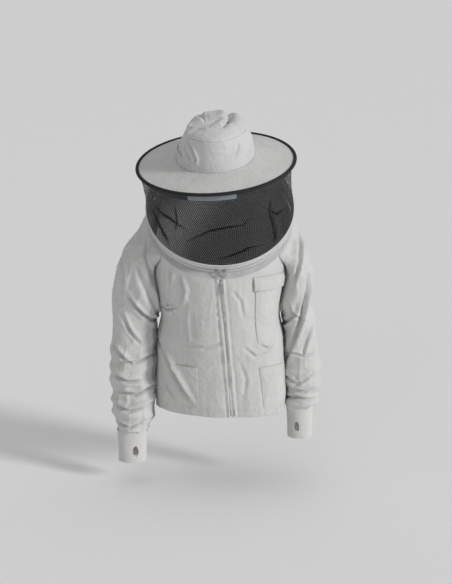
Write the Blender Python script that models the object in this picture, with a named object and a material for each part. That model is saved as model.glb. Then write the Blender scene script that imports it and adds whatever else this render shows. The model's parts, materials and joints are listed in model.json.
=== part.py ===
"""Beekeeping jacket with a zip-on round hat and veil.

Metres, +Z up, the wearer faces -Y, +X is the wearer's left. The origin is the centre of
the ring zip that joins the veil to the jacket collar.
"""
import math

import bmesh
import bpy
from mathutils import Matrix, Vector

# ---- driving dimensions ---------------------------------------------------------------
RING_RADIUS = 0.200            # collar ring, centre line of the ring zip
RING_TILT = math.radians(41.5)  # front of the ring sits low
RING_SEGMENTS = 48
COLLAR_DROP = 0.0255           # height of the jacket collar band
COLLAR_SETBACK = -0.005        # how far the neck seam sits in front of the ring
PIPING_HEIGHT = 0.0196         # height of the veil's piping along the ring axis
PIPING_RADIUS = 0.0020
VEIL_START = 0.0222            # where the mesh begins, along the ring axis
VEIL_SAG = 0.022               # share of its radius that the mesh pulls in
TAPE_REACH = 0.0112            # outer edge of each ring zip tape
COLLAR_TOP_GAP = 0.0026        # along the ring axis, below the tape

HEM_Z = -0.550
HEM_HALF_WIDTH = 0.180
WAIST_HALF_WIDTH = 0.168
CHEST_HALF_WIDTH = 0.164
BODY_BACK_DEPTH = 0.126
ZIP_LEAN = 0.034               # sideways drift of the front zip from collar to hem
FABRIC = 0.0016

SIDE_SEAM = math.radians(78.0)  # front edge of the ventilated side strip, from the front
ARMPIT_V = 0.60                # body height parameter of the armpit
YOKE_V = 0.78                  # where the raglan seam starts to run inwards
YOKE_SWEEP = math.radians(24.0)
SEAM_GAP = 0.0009
SLEEVE_GAP = 0.0050

ZIP_HALF_WIDTH = 0.0090        # from the zip's centre to the edge of the tape
COIL_WIDTH = 0.0016
COIL_GAP = 0.0016              # slot between the two coils, where the slider's post runs

CUFF_LENGTH = 0.082
CUFF_HALF_WIDTH = (0.036, 0.041)   # wearer's left, wearer's right
CUFF_TOP_Z = (-0.546, -0.615)
CUFF_CENTRE_X = (0.223, 0.247)
CUFF_CENTRE_Y = (-0.036, -0.044)
CUFF_HALF_DEPTH = 0.034
CUFF_LEAN = -0.014             # forward drift of a cuff from its top to its end
CUFF_TAPER = 0.06
CUFF_SEAM_GAP = 0.0010
CUFF_WALL = 0.0026
THUMB_HOLE = (0.016, 0.030)    # width, height
THUMB_PLACE = 0.62             # how far down the cuff the thumb hole sits
THUMB_AIM = 0.35               # inward turn of the thumb hole from straight ahead

HAT_CENTRE = Vector((-0.011, -0.030, 0.1395))
HAT_TILT = math.radians(15.0)
HAT_ROLL = math.radians(4.0)
BRIM_RADIUS = 0.2085
BRIM_DROP = 0.017              # fall of the brim from the crown to its edge
BRIM_THICKNESS = 0.0026
CROWN_HALF_WIDTH = 0.106
CROWN_HALF_LENGTH = 0.121
CROWN_SIDE_HEIGHT = 0.080
CROWN_TOP_RISE = 0.026
CROWN_TAPER = 0.14             # share by which the crown narrows to its top seam
BINDING_RADIUS = 0.0045        # half thickness of the bound edge of the brim
BINDING_GAP = 0.0004

SWEATBAND_SPAN = (-0.002, 0.030)   # heights above the brim's inner edge
SWEATBAND_INSET = 0.0052

POCKET_BULGE = 0.0085
POCKET_WALL = 0.0013
POCKET_LIFT = 0.0006           # clearance between a pocket's edge and the panel under it
FLAP_CLEAR = 0.0022            # how far the flap's free edge stands off the pocket

COIL_CLEAR = 0.0003            # between a zip's coil and its tape
RING_TAPE_CLEAR = 0.0004       # between the pieces stacked along the ring axis
RING_TAPE_HALF = 0.0006        # half thickness of the ring zip's tapes
HEM_TAPE_HALF = 0.0008         # half thickness of the tape under the veil's mesh
HEM_TAPE_TOP_CLEAR = 0.0026    # below the piping's centre line
COLLAR_LIFT = 0.0008           # collar band above the body panels
RING_COIL_WIDTH = 0.0023

VEIL_WALL = 0.0006
VEIL_TAPE_WALL = 0.0010
VEIL_TOP_INSET = 0.003         # top edge of the veil inside the brim's edge
VEIL_TOP_DROP = 0.0044         # and below it
CROWN_WALL_INSET = 0.0016      # crown panels inside the nominal crown outline
CROWN_SEAM_CLEAR = 0.0018      # crown side above the brim
CROWN_TOP_CLEAR = 0.0008       # crown top above the crown side
BRIM_CLEAR = 0.0004            # inner edge of the brim outside the crown outline
BRIM_INNER_RISE = 0.0012
SWEATBAND_WALL = 0.0014

SLIDER_SETBACK = 0.0170        # top stop of the front slider below the neck
FRONT_STRIP_LIFT = -0.0010     # front zip behind the zip's outer line
FRONT_COIL_MARGIN = 0.0085     # coils stop short of both ends of the tape
FRONT_TAPE_MARGIN = 0.0010
FRONT_TAPE_DEPTH = 0.0010
ZIP_BOX = (0.0022, 0.0035)     # half width and half height of the bottom box
ZIP_BOX_RISE = 0.0045
RING_SLIDER_ANGLE = math.radians(3.0)
RING_SLIDER_INSET = 0.0002

WHITE = (0.83, 0.83, 0.82)
KNIT = (0.80, 0.79, 0.77)
VENT = (0.70, 0.70, 0.69)
BLACK = (0.02, 0.02, 0.022)
TAPE = (0.62, 0.63, 0.65)
METAL = (0.70, 0.68, 0.60)

LEFT, RIGHT = 1, -1
SIDE_NAME = {LEFT: "left", RIGHT: "right"}


# ---- general helpers ------------------------------------------------------------------
def clear_scene():
    """Remove every object that the empty file starts with."""
    for obj in list(bpy.data.objects):
        bpy.data.objects.remove(obj, do_unlink=True)


def smooth(t):
    """Smooth step of t, clamped to 0..1."""
    t = max(0.0, min(1.0, t))
    return t * t * (3.0 - 2.0 * t)


def signed_power(value, exponent):
    """Power that keeps the sign, for superellipse sections."""
    return math.copysign(abs(value) ** exponent, value)


def catmull(values, t):
    """Catmull-Rom curve through evenly spaced numbers or vectors, t in 0..1."""
    last = len(values) - 1
    x = max(0.0, min(1.0, t)) * last
    i = min(int(x), last - 1)
    f = x - i
    p1, p2 = values[i], values[i + 1]
    p0 = values[i - 1] if i > 0 else p1 * 2.0 - p2
    p3 = values[i + 2] if i + 2 <= last else p2 * 2.0 - p1
    return (p1 * 2.0 + (p2 - p0) * f + (p0 * 2.0 - p1 * 5.0 + p2 * 4.0 - p3) * f * f
            + (p1 * 3.0 - p0 - p2 * 3.0 + p3) * f ** 3) * 0.5


def new_object(name, bm, color, roughness=0.85, metallic=0.0):
    """Turn a bmesh into a scene object with its own Principled material."""
    mesh = bpy.data.meshes.new(name)
    bm.to_mesh(mesh)
    bm.free()
    obj = bpy.data.objects.new(name, mesh)
    bpy.context.collection.objects.link(obj)
    material = bpy.data.materials.new(name)
    material.use_nodes = True
    shader = material.node_tree.nodes["Principled BSDF"]
    shader.inputs["Base Color"].default_value = (*color, 1.0)
    shader.inputs["Roughness"].default_value = roughness
    shader.inputs["Metallic"].default_value = metallic
    mesh.materials.append(material)
    return obj


def sheet(name, point, nu, nv, thickness, color, closed=False, flip=False):
    """Cloth patch: a grid of point(u, v), u and v in 0..1, thickened inwards."""
    bm = bmesh.new()
    columns = nu if closed else nu + 1
    rows = [[bm.verts.new(point(i / nu, j / nv)) for i in range(columns)]
            for j in range(nv + 1)]
    for low, high in zip(rows, rows[1:]):
        for i in range(nu):
            k = (i + 1) % columns
            ring = [low[i], low[k], high[k], high[i]]
            bm.faces.new(ring[::-1] if flip else ring)
    obj = new_object(name, bm, color)
    solid = obj.modifiers.new("thickness", "SOLIDIFY")
    solid.thickness = thickness
    solid.offset = -1.0
    solid.use_rim = True
    return obj


def dome(name, point, nu, nv, thickness, color):
    """Cloth cap: rings of point(u, v) closed by one pole vertex at v = 1."""
    bm = bmesh.new()
    rows = [[bm.verts.new(point(i / nu, j / nv)) for i in range(nu)] for j in range(nv)]
    pole = bm.verts.new(point(0.0, 1.0))
    for low, high in zip(rows, rows[1:]):
        for i in range(nu):
            k = (i + 1) % nu
            bm.faces.new([low[i], low[k], high[k], high[i]])
    for i in range(nu):
        bm.faces.new([rows[-1][i], rows[-1][(i + 1) % nu], pole])
    obj = new_object(name, bm, color)
    solid = obj.modifiers.new("thickness", "SOLIDIFY")
    solid.thickness = thickness
    solid.offset = -1.0
    return obj


def prism(name, outline, depth, frame, color, roughness=0.85, metallic=0.0):
    """Extrude a flat outline (x, y) by depth along the frame's z, centred on z = 0."""
    bm = bmesh.new()
    base = [bm.verts.new(frame @ Vector((x, y, -depth / 2.0))) for x, y in outline]
    face = bm.faces.new(base)
    grown = bmesh.ops.extrude_face_region(bm, geom=[face])["geom"]
    moved = [item for item in grown if isinstance(item, bmesh.types.BMVert)]
    bmesh.ops.translate(bm, verts=moved, vec=frame.to_3x3() @ Vector((0.0, 0.0, depth)))
    bmesh.ops.recalc_face_normals(bm, faces=bm.faces)
    return new_object(name, bm, color, roughness, metallic)


def frame_from(origin, x_axis, z_axis):
    """Right-handed frame with the given x and z directions."""
    z = z_axis.normalized()
    x = (x_axis - z * x_axis.dot(z)).normalized()
    y = z.cross(x)
    matrix = Matrix((x, y, z)).transposed().to_4x4()
    matrix.translation = origin
    return matrix


def set_origin(obj, point):
    """Move an object's origin to a point of its joint axis, leaving its shape in place."""
    obj.data.transform(Matrix.Translation(-point))
    obj.location = point


def boolean(obj, other, operation):
    """Live exact boolean with a hidden helper object."""
    other.hide_render = True
    other.display_type = "WIRE"
    modifier = obj.modifiers.new("boolean", "BOOLEAN")
    modifier.operation = operation
    modifier.solver = "EXACT"
    modifier.object = other


# ---- shape of the body ----------------------------------------------------------------
RING_AXIS = Vector((0.0, -math.sin(RING_TILT), math.cos(RING_TILT)))


def ring_point(alpha, radius, height):
    """Point on the tilted ring: alpha from the front towards the wearer's left."""
    radial = Vector((math.sin(alpha), -math.cos(alpha) * math.cos(RING_TILT),
                     -math.cos(alpha) * math.sin(RING_TILT)))
    return radial * radius + RING_AXIS * height


def ring_angle(u):
    """Angle of a fraction of the ring, shared by every ring part."""
    return 2.0 * math.pi * u


COLLAR_SHIFT = Vector((0.0, COLLAR_SETBACK, -COLLAR_DROP))
NECK_RADIUS = RING_RADIUS - 0.002


def neck_point(alpha):
    """Lower edge of the collar band, where the body panels end."""
    return ring_point(alpha, NECK_RADIUS, 0.0) + COLLAR_SHIFT


def front_line(z):
    """Straight centre line of the front zip at height z."""
    top = neck_point(0.0)
    bottom = Vector((ZIP_LEAN, -0.130, HEM_Z))
    return top.lerp(bottom, (z - top.z) / (bottom.z - top.z))


CHEST_LINE_FRONT, CHEST_LINE_BACK = -0.285, -0.255
SKIRT_SHARES = (0.6415, 0.6780)     # part of the way from chest line to hem: front, back
WAIST_SHARES = (0.3019, 0.3627)


def below_chest(share_front, share_back):
    """Front and back height at a share of the way from the chest line down to the hem."""
    return (CHEST_LINE_FRONT + (HEM_Z - CHEST_LINE_FRONT) * share_front,
            CHEST_LINE_BACK + (HEM_Z - CHEST_LINE_BACK) * share_back)


def body_sections():
    """Sections from hem to neck: (front z, back z, half width, back y, roundness)."""
    neck_front, neck_back = neck_point(0.0), neck_point(math.pi)
    chest = CHEST_HALF_WIDTH
    return [
        (HEM_Z, HEM_Z, HEM_HALF_WIDTH, BODY_BACK_DEPTH + 0.002, 0.85),
        (*below_chest(*SKIRT_SHARES), (HEM_HALF_WIDTH + WAIST_HALF_WIDTH) / 2,
         BODY_BACK_DEPTH, 0.85),
        (*below_chest(*WAIST_SHARES), WAIST_HALF_WIDTH, BODY_BACK_DEPTH - 0.002, 0.86),
        (CHEST_LINE_FRONT, CHEST_LINE_BACK, chest, BODY_BACK_DEPTH + 0.006, 0.88),
        (-0.215, -0.105, chest + 0.018, BODY_BACK_DEPTH + 0.028, 0.94),
        (neck_front.z, neck_back.z, NECK_RADIUS, neck_back.y, 1.0),
    ]


def body_point(alpha, v, offset=0.0):
    """Outer surface of the body: alpha round it, v from hem to neck, offset outwards."""
    points = []
    for front_z, back_z, half_width, back_y, roundness in body_sections():
        front = front_line(front_z)
        back = Vector((0.0, back_y, back_z))
        middle = Vector((0.0, (front.y + back.y) / 2, (front_z + back_z) / 2))
        depth = Vector((0.0, front.y, front_z)) - middle
        side = signed_power(math.sin(alpha), roundness) * (half_width + offset)
        reach = signed_power(math.cos(alpha), roundness) * (1.0 + offset / depth.length)
        lean = front.x * smooth(math.cos(alpha))
        points.append(middle + depth * reach + Vector((side + lean, 0.0, 0.0)))
    return catmull(points, v)


def level_point(alpha, z, offset=0.0):
    """Point of the body surface at a given angle and height."""
    low, high = 0.0, 1.0
    for _ in range(18):
        middle = (low + high) / 2.0
        if body_point(alpha, middle).z < z:
            low = middle
        else:
            high = middle
    return body_point(alpha, low, offset)


def front_edge(v):
    """Angle of the front panel's outer edge: side seam below, raglan seam above."""
    return SIDE_SEAM - YOKE_SWEEP * smooth((v - YOKE_V) / (1.0 - YOKE_V))


def zip_edge_angle(v):
    """Angle at which a body panel starts beside the zip tape."""
    values = [(half_width, roundness) for _, _, half_width, _, roundness in body_sections()]
    half_width = catmull([pair[0] for pair in values], v)
    roundness = catmull([pair[1] for pair in values], v)
    return math.asin(((ZIP_HALF_WIDTH + 0.0010) / half_width) ** (1.0 / roundness))


SEAM_ARM = 0.131                    # arm length that turns a seam gap into an angle


def edge_trim(gap):
    """Angle that corresponds to a gap along the body surface."""
    return gap / SEAM_ARM


TOP_V = 0.994
PANEL_BOTTOM_V = 0.048


def blend(a, b, t):
    """Linear mix of two numbers."""
    return a + (b - a) * t


# ---- jacket body ----------------------------------------------------------------------
def front_panel(side):
    """Front panel from the zip to the side seam and the raglan seam."""
    def point(u, v):
        height = blend(PANEL_BOTTOM_V, TOP_V, v)
        zip_edge = zip_edge_angle(height)
        outer = front_edge(height) - edge_trim(SEAM_GAP)
        return body_point(side * blend(zip_edge, outer, u), height)
    name = "front_panel_" + SIDE_NAME[side]
    return sheet(name, point, 8, 12, FABRIC, WHITE, flip=side == RIGHT)


def back_panel():
    """Whole back, between the two side strips and raglan seams."""
    def point(u, v):
        height = blend(PANEL_BOTTOM_V, TOP_V, v)
        edge = math.pi - front_edge(height) + edge_trim(SEAM_GAP)
        return body_point(blend(edge, 2.0 * math.pi - edge, u), height)
    return sheet("back_panel", point, 16, 12, FABRIC, WHITE)


def side_vent(side):
    """Ventilated mesh strip under the arm, from hem to armpit."""
    def point(u, v):
        height = blend(PANEL_BOTTOM_V, ARMPIT_V, v)
        alpha = blend(SIDE_SEAM + edge_trim(SEAM_GAP),
                      math.pi - SIDE_SEAM - edge_trim(SEAM_GAP), u)
        return body_point(side * alpha, height)
    return sheet("side_vent_" + SIDE_NAME[side], point, 3, 8, FABRIC, VENT,
                 flip=side == RIGHT)


def hem_band():
    """Elasticated casing round the bottom, open at the zip."""
    def point(u, v):
        gap = zip_edge_angle(blend(0.0, PANEL_BOTTOM_V, v))
        alpha = blend(gap, 2.0 * math.pi - gap, u)
        return body_point(alpha, blend(0.0, PANEL_BOTTOM_V - 0.0025, v), 0.0010)
    return sheet("hem_band", point, 40, 1, 0.0036, WHITE)


def collar_band():
    """Upright band that carries the jacket half of the ring zip."""
    def point(u, v):
        alpha = ring_angle(u)
        top = ring_point(alpha, RING_RADIUS, -TAPE_REACH - COLLAR_TOP_GAP)
        return (neck_point(alpha) + Vector((0.0, 0.0, COLLAR_LIFT))).lerp(top, v)
    return sheet("collar_band", point, RING_SEGMENTS, 1, FABRIC, WHITE, closed=True)


# ---- sleeves --------------------------------------------------------------------------
def armhole_point(side, phi):
    """Loop of the armhole, phi 0 at the armpit, then back, shoulder top and front."""
    phi = (phi + 0.05) % 1.0
    trim = edge_trim(SLEEVE_GAP)
    low, high = ARMPIT_V + 0.014, TOP_V
    if phi < 0.10:
        alpha = blend(SIDE_SEAM, math.pi - SIDE_SEAM, phi / 0.10)
        return body_point(side * alpha, low)
    if phi < 0.41:
        height = blend(low, high, (phi - 0.10) / 0.31)
        return body_point(side * (math.pi - front_edge(height) - trim), height)
    if phi < 0.69:
        edge = front_edge(1.0) + trim
        alpha = blend(math.pi - edge, edge, (phi - 0.41) / 0.28)
        return body_point(side * alpha, high)
    height = blend(high, low, (phi - 0.69) / 0.31)
    return body_point(side * (front_edge(height) + trim), height)


SLEEVE_TABLE_SIDE = 0.164      # half width of the body beside which the tables below are drawn
HEM_FLARE = 0.016              # how far the hem may stand out beyond the chest
WAIST_FLARE = 0.004
SLEEVE_SHIFT = max(CHEST_HALF_WIDTH, WAIST_HALF_WIDTH - WAIST_FLARE,
                   HEM_HALF_WIDTH - HEM_FLARE) - SLEEVE_TABLE_SIDE


def sleeve_sections(side):
    """Sections below the armhole: (inner x, z), (outer x, z), y, half depth."""
    if side == LEFT:
        return [
            ((0.177, -0.276), (0.238, -0.096), 0.000, 0.084),
            ((0.181, -0.300), (0.256, -0.190), -0.002, 0.068),
            ((0.183, -0.350), (0.266, -0.325), -0.006, 0.058),
            ((0.187, -0.430), (0.276, -0.420), -0.012, 0.055),
            ((0.190, -0.500), (0.274, -0.505), -0.022, 0.050),
            ((0.186, CUFF_TOP_Z[0]), (0.260, CUFF_TOP_Z[0]), -0.036, 0.035),
        ]
    return [
        ((0.177, -0.284), (0.255, -0.096), 0.000, 0.084),
        ((0.182, -0.310), (0.290, -0.205), -0.002, 0.070),
        ((0.184, -0.370), (0.302, -0.340), -0.006, 0.062),
        ((0.188, -0.470), (0.306, -0.460), -0.012, 0.060),
        ((0.194, -0.560), (0.300, -0.560), -0.026, 0.054),
        ((0.206, CUFF_TOP_Z[1]), (0.288, CUFF_TOP_Z[1]), -0.044, 0.036),
    ]


def sleeve_point(side, phi, s):
    """Outer surface of a sleeve, s from the armhole to the cuff seam."""
    points = [armhole_point(side, phi)]
    turn = 2.0 * math.pi * phi
    for (inner_x, inner_z), (outer_x, outer_z), y, half_depth in sleeve_sections(side):
        inner = Vector((side * (inner_x + SLEEVE_SHIFT), y, inner_z))
        outer = Vector((side * (outer_x + SLEEVE_SHIFT), y, outer_z))
        middle = (inner + outer) / 2.0
        across = (inner - outer) / 2.0
        swing = Vector((0.0, half_depth * math.sin(turn), 0.0))
        points.append(middle + across * math.cos(turn) + swing)
    return catmull(points, s)


def sleeve(side):
    """Cotton sleeve, all but the ventilated strip on its inner side."""
    def point(u, v):
        return sleeve_point(side, blend(0.078, 0.922, u), v)
    return sheet("sleeve_" + SIDE_NAME[side], point, 18, 12, FABRIC, WHITE,
                 flip=side == LEFT)


def sleeve_vent(side):
    """Ventilated mesh strip down the inner side of a sleeve."""
    def point(u, v):
        return sleeve_point(side, blend(-0.075, 0.075, u), v)
    return sheet("sleeve_vent_" + SIDE_NAME[side], point, 3, 12, FABRIC, VENT,
                 flip=side == LEFT)


def cuff_centre(side, t):
    """Centre line of a cuff, t from its top to its end."""
    index = 0 if side == LEFT else 1
    x = CUFF_CENTRE_X[index] + SLEEVE_SHIFT
    top = Vector((side * x, CUFF_CENTRE_Y[index], CUFF_TOP_Z[index] - CUFF_SEAM_GAP))
    return top + Vector((0.0, CUFF_LEAN, -CUFF_LENGTH)) * t


def cuff(side):
    """Knitted cuff with a thumb hole near its end."""
    width = CUFF_HALF_WIDTH[0 if side == LEFT else 1]

    def point(u, v):
        turn = 2.0 * math.pi * u
        centre = cuff_centre(side, v)
        taper = 1.0 - CUFF_TAPER * v
        return centre + Vector((width * taper * math.cos(turn),
                                CUFF_HALF_DEPTH * taper * math.sin(turn), 0.0))
    obj = sheet("cuff_" + SIDE_NAME[side], point, 24, 2, CUFF_WALL, KNIT, closed=True,
                flip=True)
    cutter = thumb_cutter(side, width)
    boolean(obj, cutter, "DIFFERENCE")
    return obj


def thumb_cutter(side, width):
    """Rounded block that cuts the thumb hole through the front inner wall."""
    half_w, half_h = THUMB_HOLE[0] / 2.0, THUMB_HOLE[1] / 2.0
    outline = []
    for step in range(16):
        turn = 2.0 * math.pi * (step + 0.5) / 16
        outline.append((half_w * signed_power(math.cos(turn), 0.6),
                        half_h * signed_power(math.sin(turn), 0.6)))
    centre = cuff_centre(side, THUMB_PLACE)
    aim = Vector((-side * THUMB_AIM, -1.0, 0.0)).normalized()
    wall = centre + Vector((aim.x * width, aim.y * CUFF_HALF_DEPTH, 0.0))
    frame = frame_from(wall, Vector((aim.y, -aim.x, 0.0)), aim)
    return prism("cut_thumb_" + SIDE_NAME[side], outline, 0.040, frame, KNIT)


# ---- pockets --------------------------------------------------------------------------
def pocket(name, side, inner, outer, bottom, top):
    """Patch pocket: edges close to the panel, a puffed open mouth at the top."""
    def point(u, v):
        puff = math.sin(math.pi * u) ** 0.7 * smooth(v * 1.6)
        offset = POCKET_LIFT + POCKET_WALL + POCKET_BULGE * puff
        alpha = math.radians(blend(inner, outer, u))
        return level_point(side * alpha, blend(bottom, top, v), offset)
    return sheet(name, point, 8, 6, POCKET_WALL, WHITE, flip=side == RIGHT)


CHEST_SPAN = (28.0, 69.0)
CHEST_POCKET_Z = (-0.338, -0.176)
CHEST_FLAP_Z = (-0.193, -0.156)
LOWER_SPAN = (26.0, 74.0)
LOWER_POCKET_LIFT = 0.027          # bottom seam of the lower pocket above the hem
LOWER_POCKET_DROP = 0.330          # top seam's share of the way from chest pocket to hem
LOWER_POCKET_Z = (HEM_Z + LOWER_POCKET_LIFT,
                  blend(CHEST_POCKET_Z[0], HEM_Z, LOWER_POCKET_DROP))


def flap_point(u, v):
    """Outer surface of the chest flap, v from its free edge to the hinge seam."""
    alpha = math.radians(blend(CHEST_SPAN[0] - 0.8, CHEST_SPAN[1] + 0.5, u))
    clear = POCKET_BULGE * math.sin(math.pi * u) ** 0.5 + POCKET_WALL + FLAP_CLEAR
    offset = POCKET_LIFT + POCKET_WALL + clear * smooth((1.0 - v) * 2.0)
    return level_point(alpha, blend(CHEST_FLAP_Z[0], CHEST_FLAP_Z[1], v), offset)


def chest_flap():
    """Flap over the chest pocket's mouth, sewn along its top edge."""
    obj = sheet("chest_flap", flap_point, 8, 3, POCKET_WALL, WHITE)
    set_origin(obj, flap_hinge())
    return obj


def flap_hinge():
    """Point on the flap's fold axis, which touches the flap's top edge at its middle."""
    return flap_point(0.5, 1.0)


# ---- front zip ------------------------------------------------------------------------
def front_zip_frame(t):
    """Frame on the zip line, t from the top: x across, y up the zip, z outwards."""
    top, bottom = front_line(neck_point(0.0).z), front_line(HEM_Z)
    up = (top - bottom).normalized()
    outward = Vector((1.0, 0.0, 0.0)).cross(up).normalized()
    return frame_from(top.lerp(bottom, t), up.cross(outward), outward)


def front_zip_length():
    """Length of the zip line from neck to hem."""
    return (front_line(neck_point(0.0).z) - front_line(HEM_Z)).length


def front_strip(name, side, near, far, depth, margin, lift, color):
    """Straight strip of the front zip between two distances from its centre line."""
    half = front_zip_length() / 2.0 - margin
    outline = [(side * near, -half), (side * far, -half), (side * far, half),
               (side * near, half)]
    frame = front_zip_frame(0.5) @ Matrix.Translation((0.0, 0.0, lift))
    return prism(name, outline, depth, frame, color)


SLIDER_PLATE = 0.0012
SLIDER_CLEAR = 0.0007
COIL_DEPTH = 0.0020
LUG_NARROW = 0.0010            # half sizes of the lug that holds the pull
LUG_WIDE = 0.0016


def slider_outline(half_width):
    """Cross-section of a zip slider: two plates and the post between the coils."""
    inner = COIL_DEPTH / 2.0 + SLIDER_CLEAR
    outer = inner + SLIDER_PLATE
    post = 0.0005
    return [(-half_width, -outer), (half_width, -outer), (half_width, -inner),
            (post, -inner), (post, inner), (half_width, inner), (half_width, outer),
            (-half_width, outer), (-half_width, inner), (-post, inner), (-post, -inner),
            (-half_width, -inner)]


def slider(name, frame, travel, length, half_width, lug_size):
    """Zip slider in a frame (x across the coils, z outwards), with a lug for the pull."""
    lug_x, lug_y = lug_size
    across = frame.to_3x3() @ Vector((1.0, 0.0, 0.0))
    body_frame = frame_from(frame.translation, across, travel)
    outward = frame.to_3x3() @ Vector((0.0, 0.0, 1.0))
    sign = 1.0 if (body_frame.to_3x3() @ Vector((0.0, 1.0, 0.0))).dot(outward) > 0 else -1.0
    outline = [(x, sign * y) for x, y in slider_outline(half_width)]
    obj = prism(name, outline, length, body_frame, METAL, 0.35, 0.9)
    lug_base = COIL_DEPTH / 2.0 + SLIDER_CLEAR + SLIDER_PLATE
    lug = [(-lug_x, -lug_y), (lug_x, -lug_y), (lug_x, lug_y), (-lug_x, lug_y)]
    lug_frame = frame @ Matrix.Translation((0.0, 0.0, lug_base + 0.0008))
    helper = prism("add_lug_" + name, lug, 0.0032, lug_frame, METAL)
    boolean(obj, helper, "UNION")
    return obj


def pull_pivot(frame):
    """Centre of the pull's hinge in a slider frame."""
    lift = COIL_DEPTH / 2.0 + SLIDER_CLEAR + SLIDER_PLATE + 0.0014
    return frame @ Vector((0.0, 0.0, lift))


def pull(name, pivot, axis, direction, length=0.024):
    """Forked pull tab: two prongs beside the lug and a tab in the given direction."""
    inner, outer = LUG_NARROW + 0.0004, LUG_NARROW + 0.0016
    outline = [(inner, 0.0010), (inner, -0.0026), (-inner, -0.0026), (-inner, 0.0010),
               (-outer, 0.0010), (-outer, -length), (outer, -length), (outer, 0.0010)]
    normal = axis.cross(-direction)
    frame = frame_from(pivot, axis, normal)
    obj = prism(name, outline, 0.0012, frame, METAL, 0.35, 0.9)
    set_origin(obj, pivot)
    return obj


def front_zip():
    """Both halves of the front zip, the bottom box and pin, the slider and its pull."""
    coil_near = COIL_GAP / 2.0
    coil_far = coil_near + COIL_WIDTH
    for side in (LEFT, RIGHT):
        label = SIDE_NAME[side]
        front_strip("front_coil_" + label, side, coil_near, coil_far, COIL_DEPTH,
                    FRONT_COIL_MARGIN, FRONT_STRIP_LIFT, WHITE)
        front_strip("front_tape_" + label, side, coil_far + COIL_CLEAR, ZIP_HALF_WIDTH,
                    FRONT_TAPE_DEPTH, FRONT_TAPE_MARGIN, FRONT_STRIP_LIFT, WHITE)
    box_frame = front_zip_frame(1.0) @ Matrix.Translation(
        (0.0, ZIP_BOX_RISE, FRONT_STRIP_LIFT))
    box_x, box_y = ZIP_BOX
    box = [(-box_x, -box_y), (box_x, -box_y), (box_x, box_y), (-box_x, box_y)]
    prism("zip_box", box, COIL_DEPTH, box_frame, METAL, 0.4, 0.8)
    frame = front_zip_frame(0.0) @ Matrix.Translation(
        (0.0, -SLIDER_SETBACK, FRONT_STRIP_LIFT))
    up = frame.to_3x3() @ Vector((0.0, 1.0, 0.0))
    slider("front_slider", frame, up, 0.0110, 0.0040, (LUG_NARROW, LUG_WIDE))
    across = frame.to_3x3() @ Vector((1.0, 0.0, 0.0))
    pull("front_pull", pull_pivot(frame), across, Vector((0.0, 0.0, -1.0)))


# ---- ring zip -------------------------------------------------------------------------
def ring_strip(name, low, high, half_depth, color, radius=RING_RADIUS):
    """Band of the ring between two heights above the zip's centre plane."""
    def point(u, v):
        return ring_point(ring_angle(u), radius + half_depth, blend(low, high, v))
    return sheet(name, point, RING_SEGMENTS, 1, 2.0 * half_depth, color, closed=True)


def ring_slider(side):
    """Slider of the ring zip and its hanging pull, just beside the front centre."""
    alpha = side * RING_SLIDER_ANGLE
    centre = ring_point(alpha, RING_RADIUS - RING_SLIDER_INSET, 0.0)
    radial = ring_point(alpha, 1.0, 0.0)
    frame = frame_from(centre, RING_AXIS, radial)
    tangent = RING_AXIS.cross(radial).normalized()
    name = "ring_slider_" + SIDE_NAME[side]
    slider(name, frame, tangent, 0.0090, 0.0042, (LUG_WIDE, LUG_NARROW))
    down = Vector((0.0, 0.0, -1.0))
    down = (down - tangent * down.dot(tangent)).normalized()
    pull("ring_pull_" + SIDE_NAME[side], pull_pivot(frame), tangent, down, 0.018)


def ring_zip():
    """Two closed halves of the ring zip and the two sliders."""
    gap = COIL_GAP / 2.0
    coil_end = gap + RING_COIL_WIDTH
    tape_start = coil_end + RING_TAPE_CLEAR
    ring_strip("ring_coil_lower", -coil_end, -gap, COIL_DEPTH / 2, TAPE)
    ring_strip("ring_tape_lower", -TAPE_REACH, -tape_start, RING_TAPE_HALF, TAPE)
    ring_strip("ring_coil_upper", gap, coil_end, COIL_DEPTH / 2, TAPE)
    ring_strip("ring_tape_upper", tape_start, TAPE_REACH, RING_TAPE_HALF, TAPE)
    for side in (LEFT, RIGHT):
        ring_slider(side)


# ---- veil and hat ---------------------------------------------------------------------
HAT_TURN = Matrix.Rotation(HAT_TILT, 4, "X") @ Matrix.Rotation(HAT_ROLL, 4, "Y").inverted()


def hat_point(alpha, half_width, half_length, height):
    """Point in the hat's own frame: alpha from the front, height above the crown seam."""
    local = Vector((half_width * math.sin(alpha), -half_length * math.cos(alpha), height))
    return HAT_CENTRE + HAT_TURN.to_3x3() @ (local + Vector((0.0, 0.0, BRIM_DROP)))


def veil_hem():
    """Cotton tape under the mesh and the piping that stands out round it."""
    ring_strip("veil_hem_tape", TAPE_REACH + RING_TAPE_CLEAR,
               PIPING_HEIGHT - HEM_TAPE_TOP_CLEAR, HEM_TAPE_HALF, WHITE)

    def point(u, v):
        turn = 2.0 * math.pi * v
        radius = RING_RADIUS + HEM_TAPE_HALF + PIPING_RADIUS * math.cos(turn)
        return ring_point(ring_angle(u), radius,
                          PIPING_HEIGHT + PIPING_RADIUS * math.sin(turn))
    closed_tube("veil_piping", point, RING_SEGMENTS, 5, WHITE)


def closed_tube(name, point, nu, nv, color):
    """Solid ring: a grid closed both ways."""
    bm = bmesh.new()
    rows = [[bm.verts.new(point(i / nu, j / nv)) for i in range(nu)] for j in range(nv)]
    for j in range(nv):
        for i in range(nu):
            k, m = (i + 1) % nu, (j + 1) % nv
            bm.faces.new([rows[j][i], rows[j][k], rows[m][k], rows[m][i]])
    bmesh.ops.recalc_face_normals(bm, faces=bm.faces)
    return new_object(name, bm, color)


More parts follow.
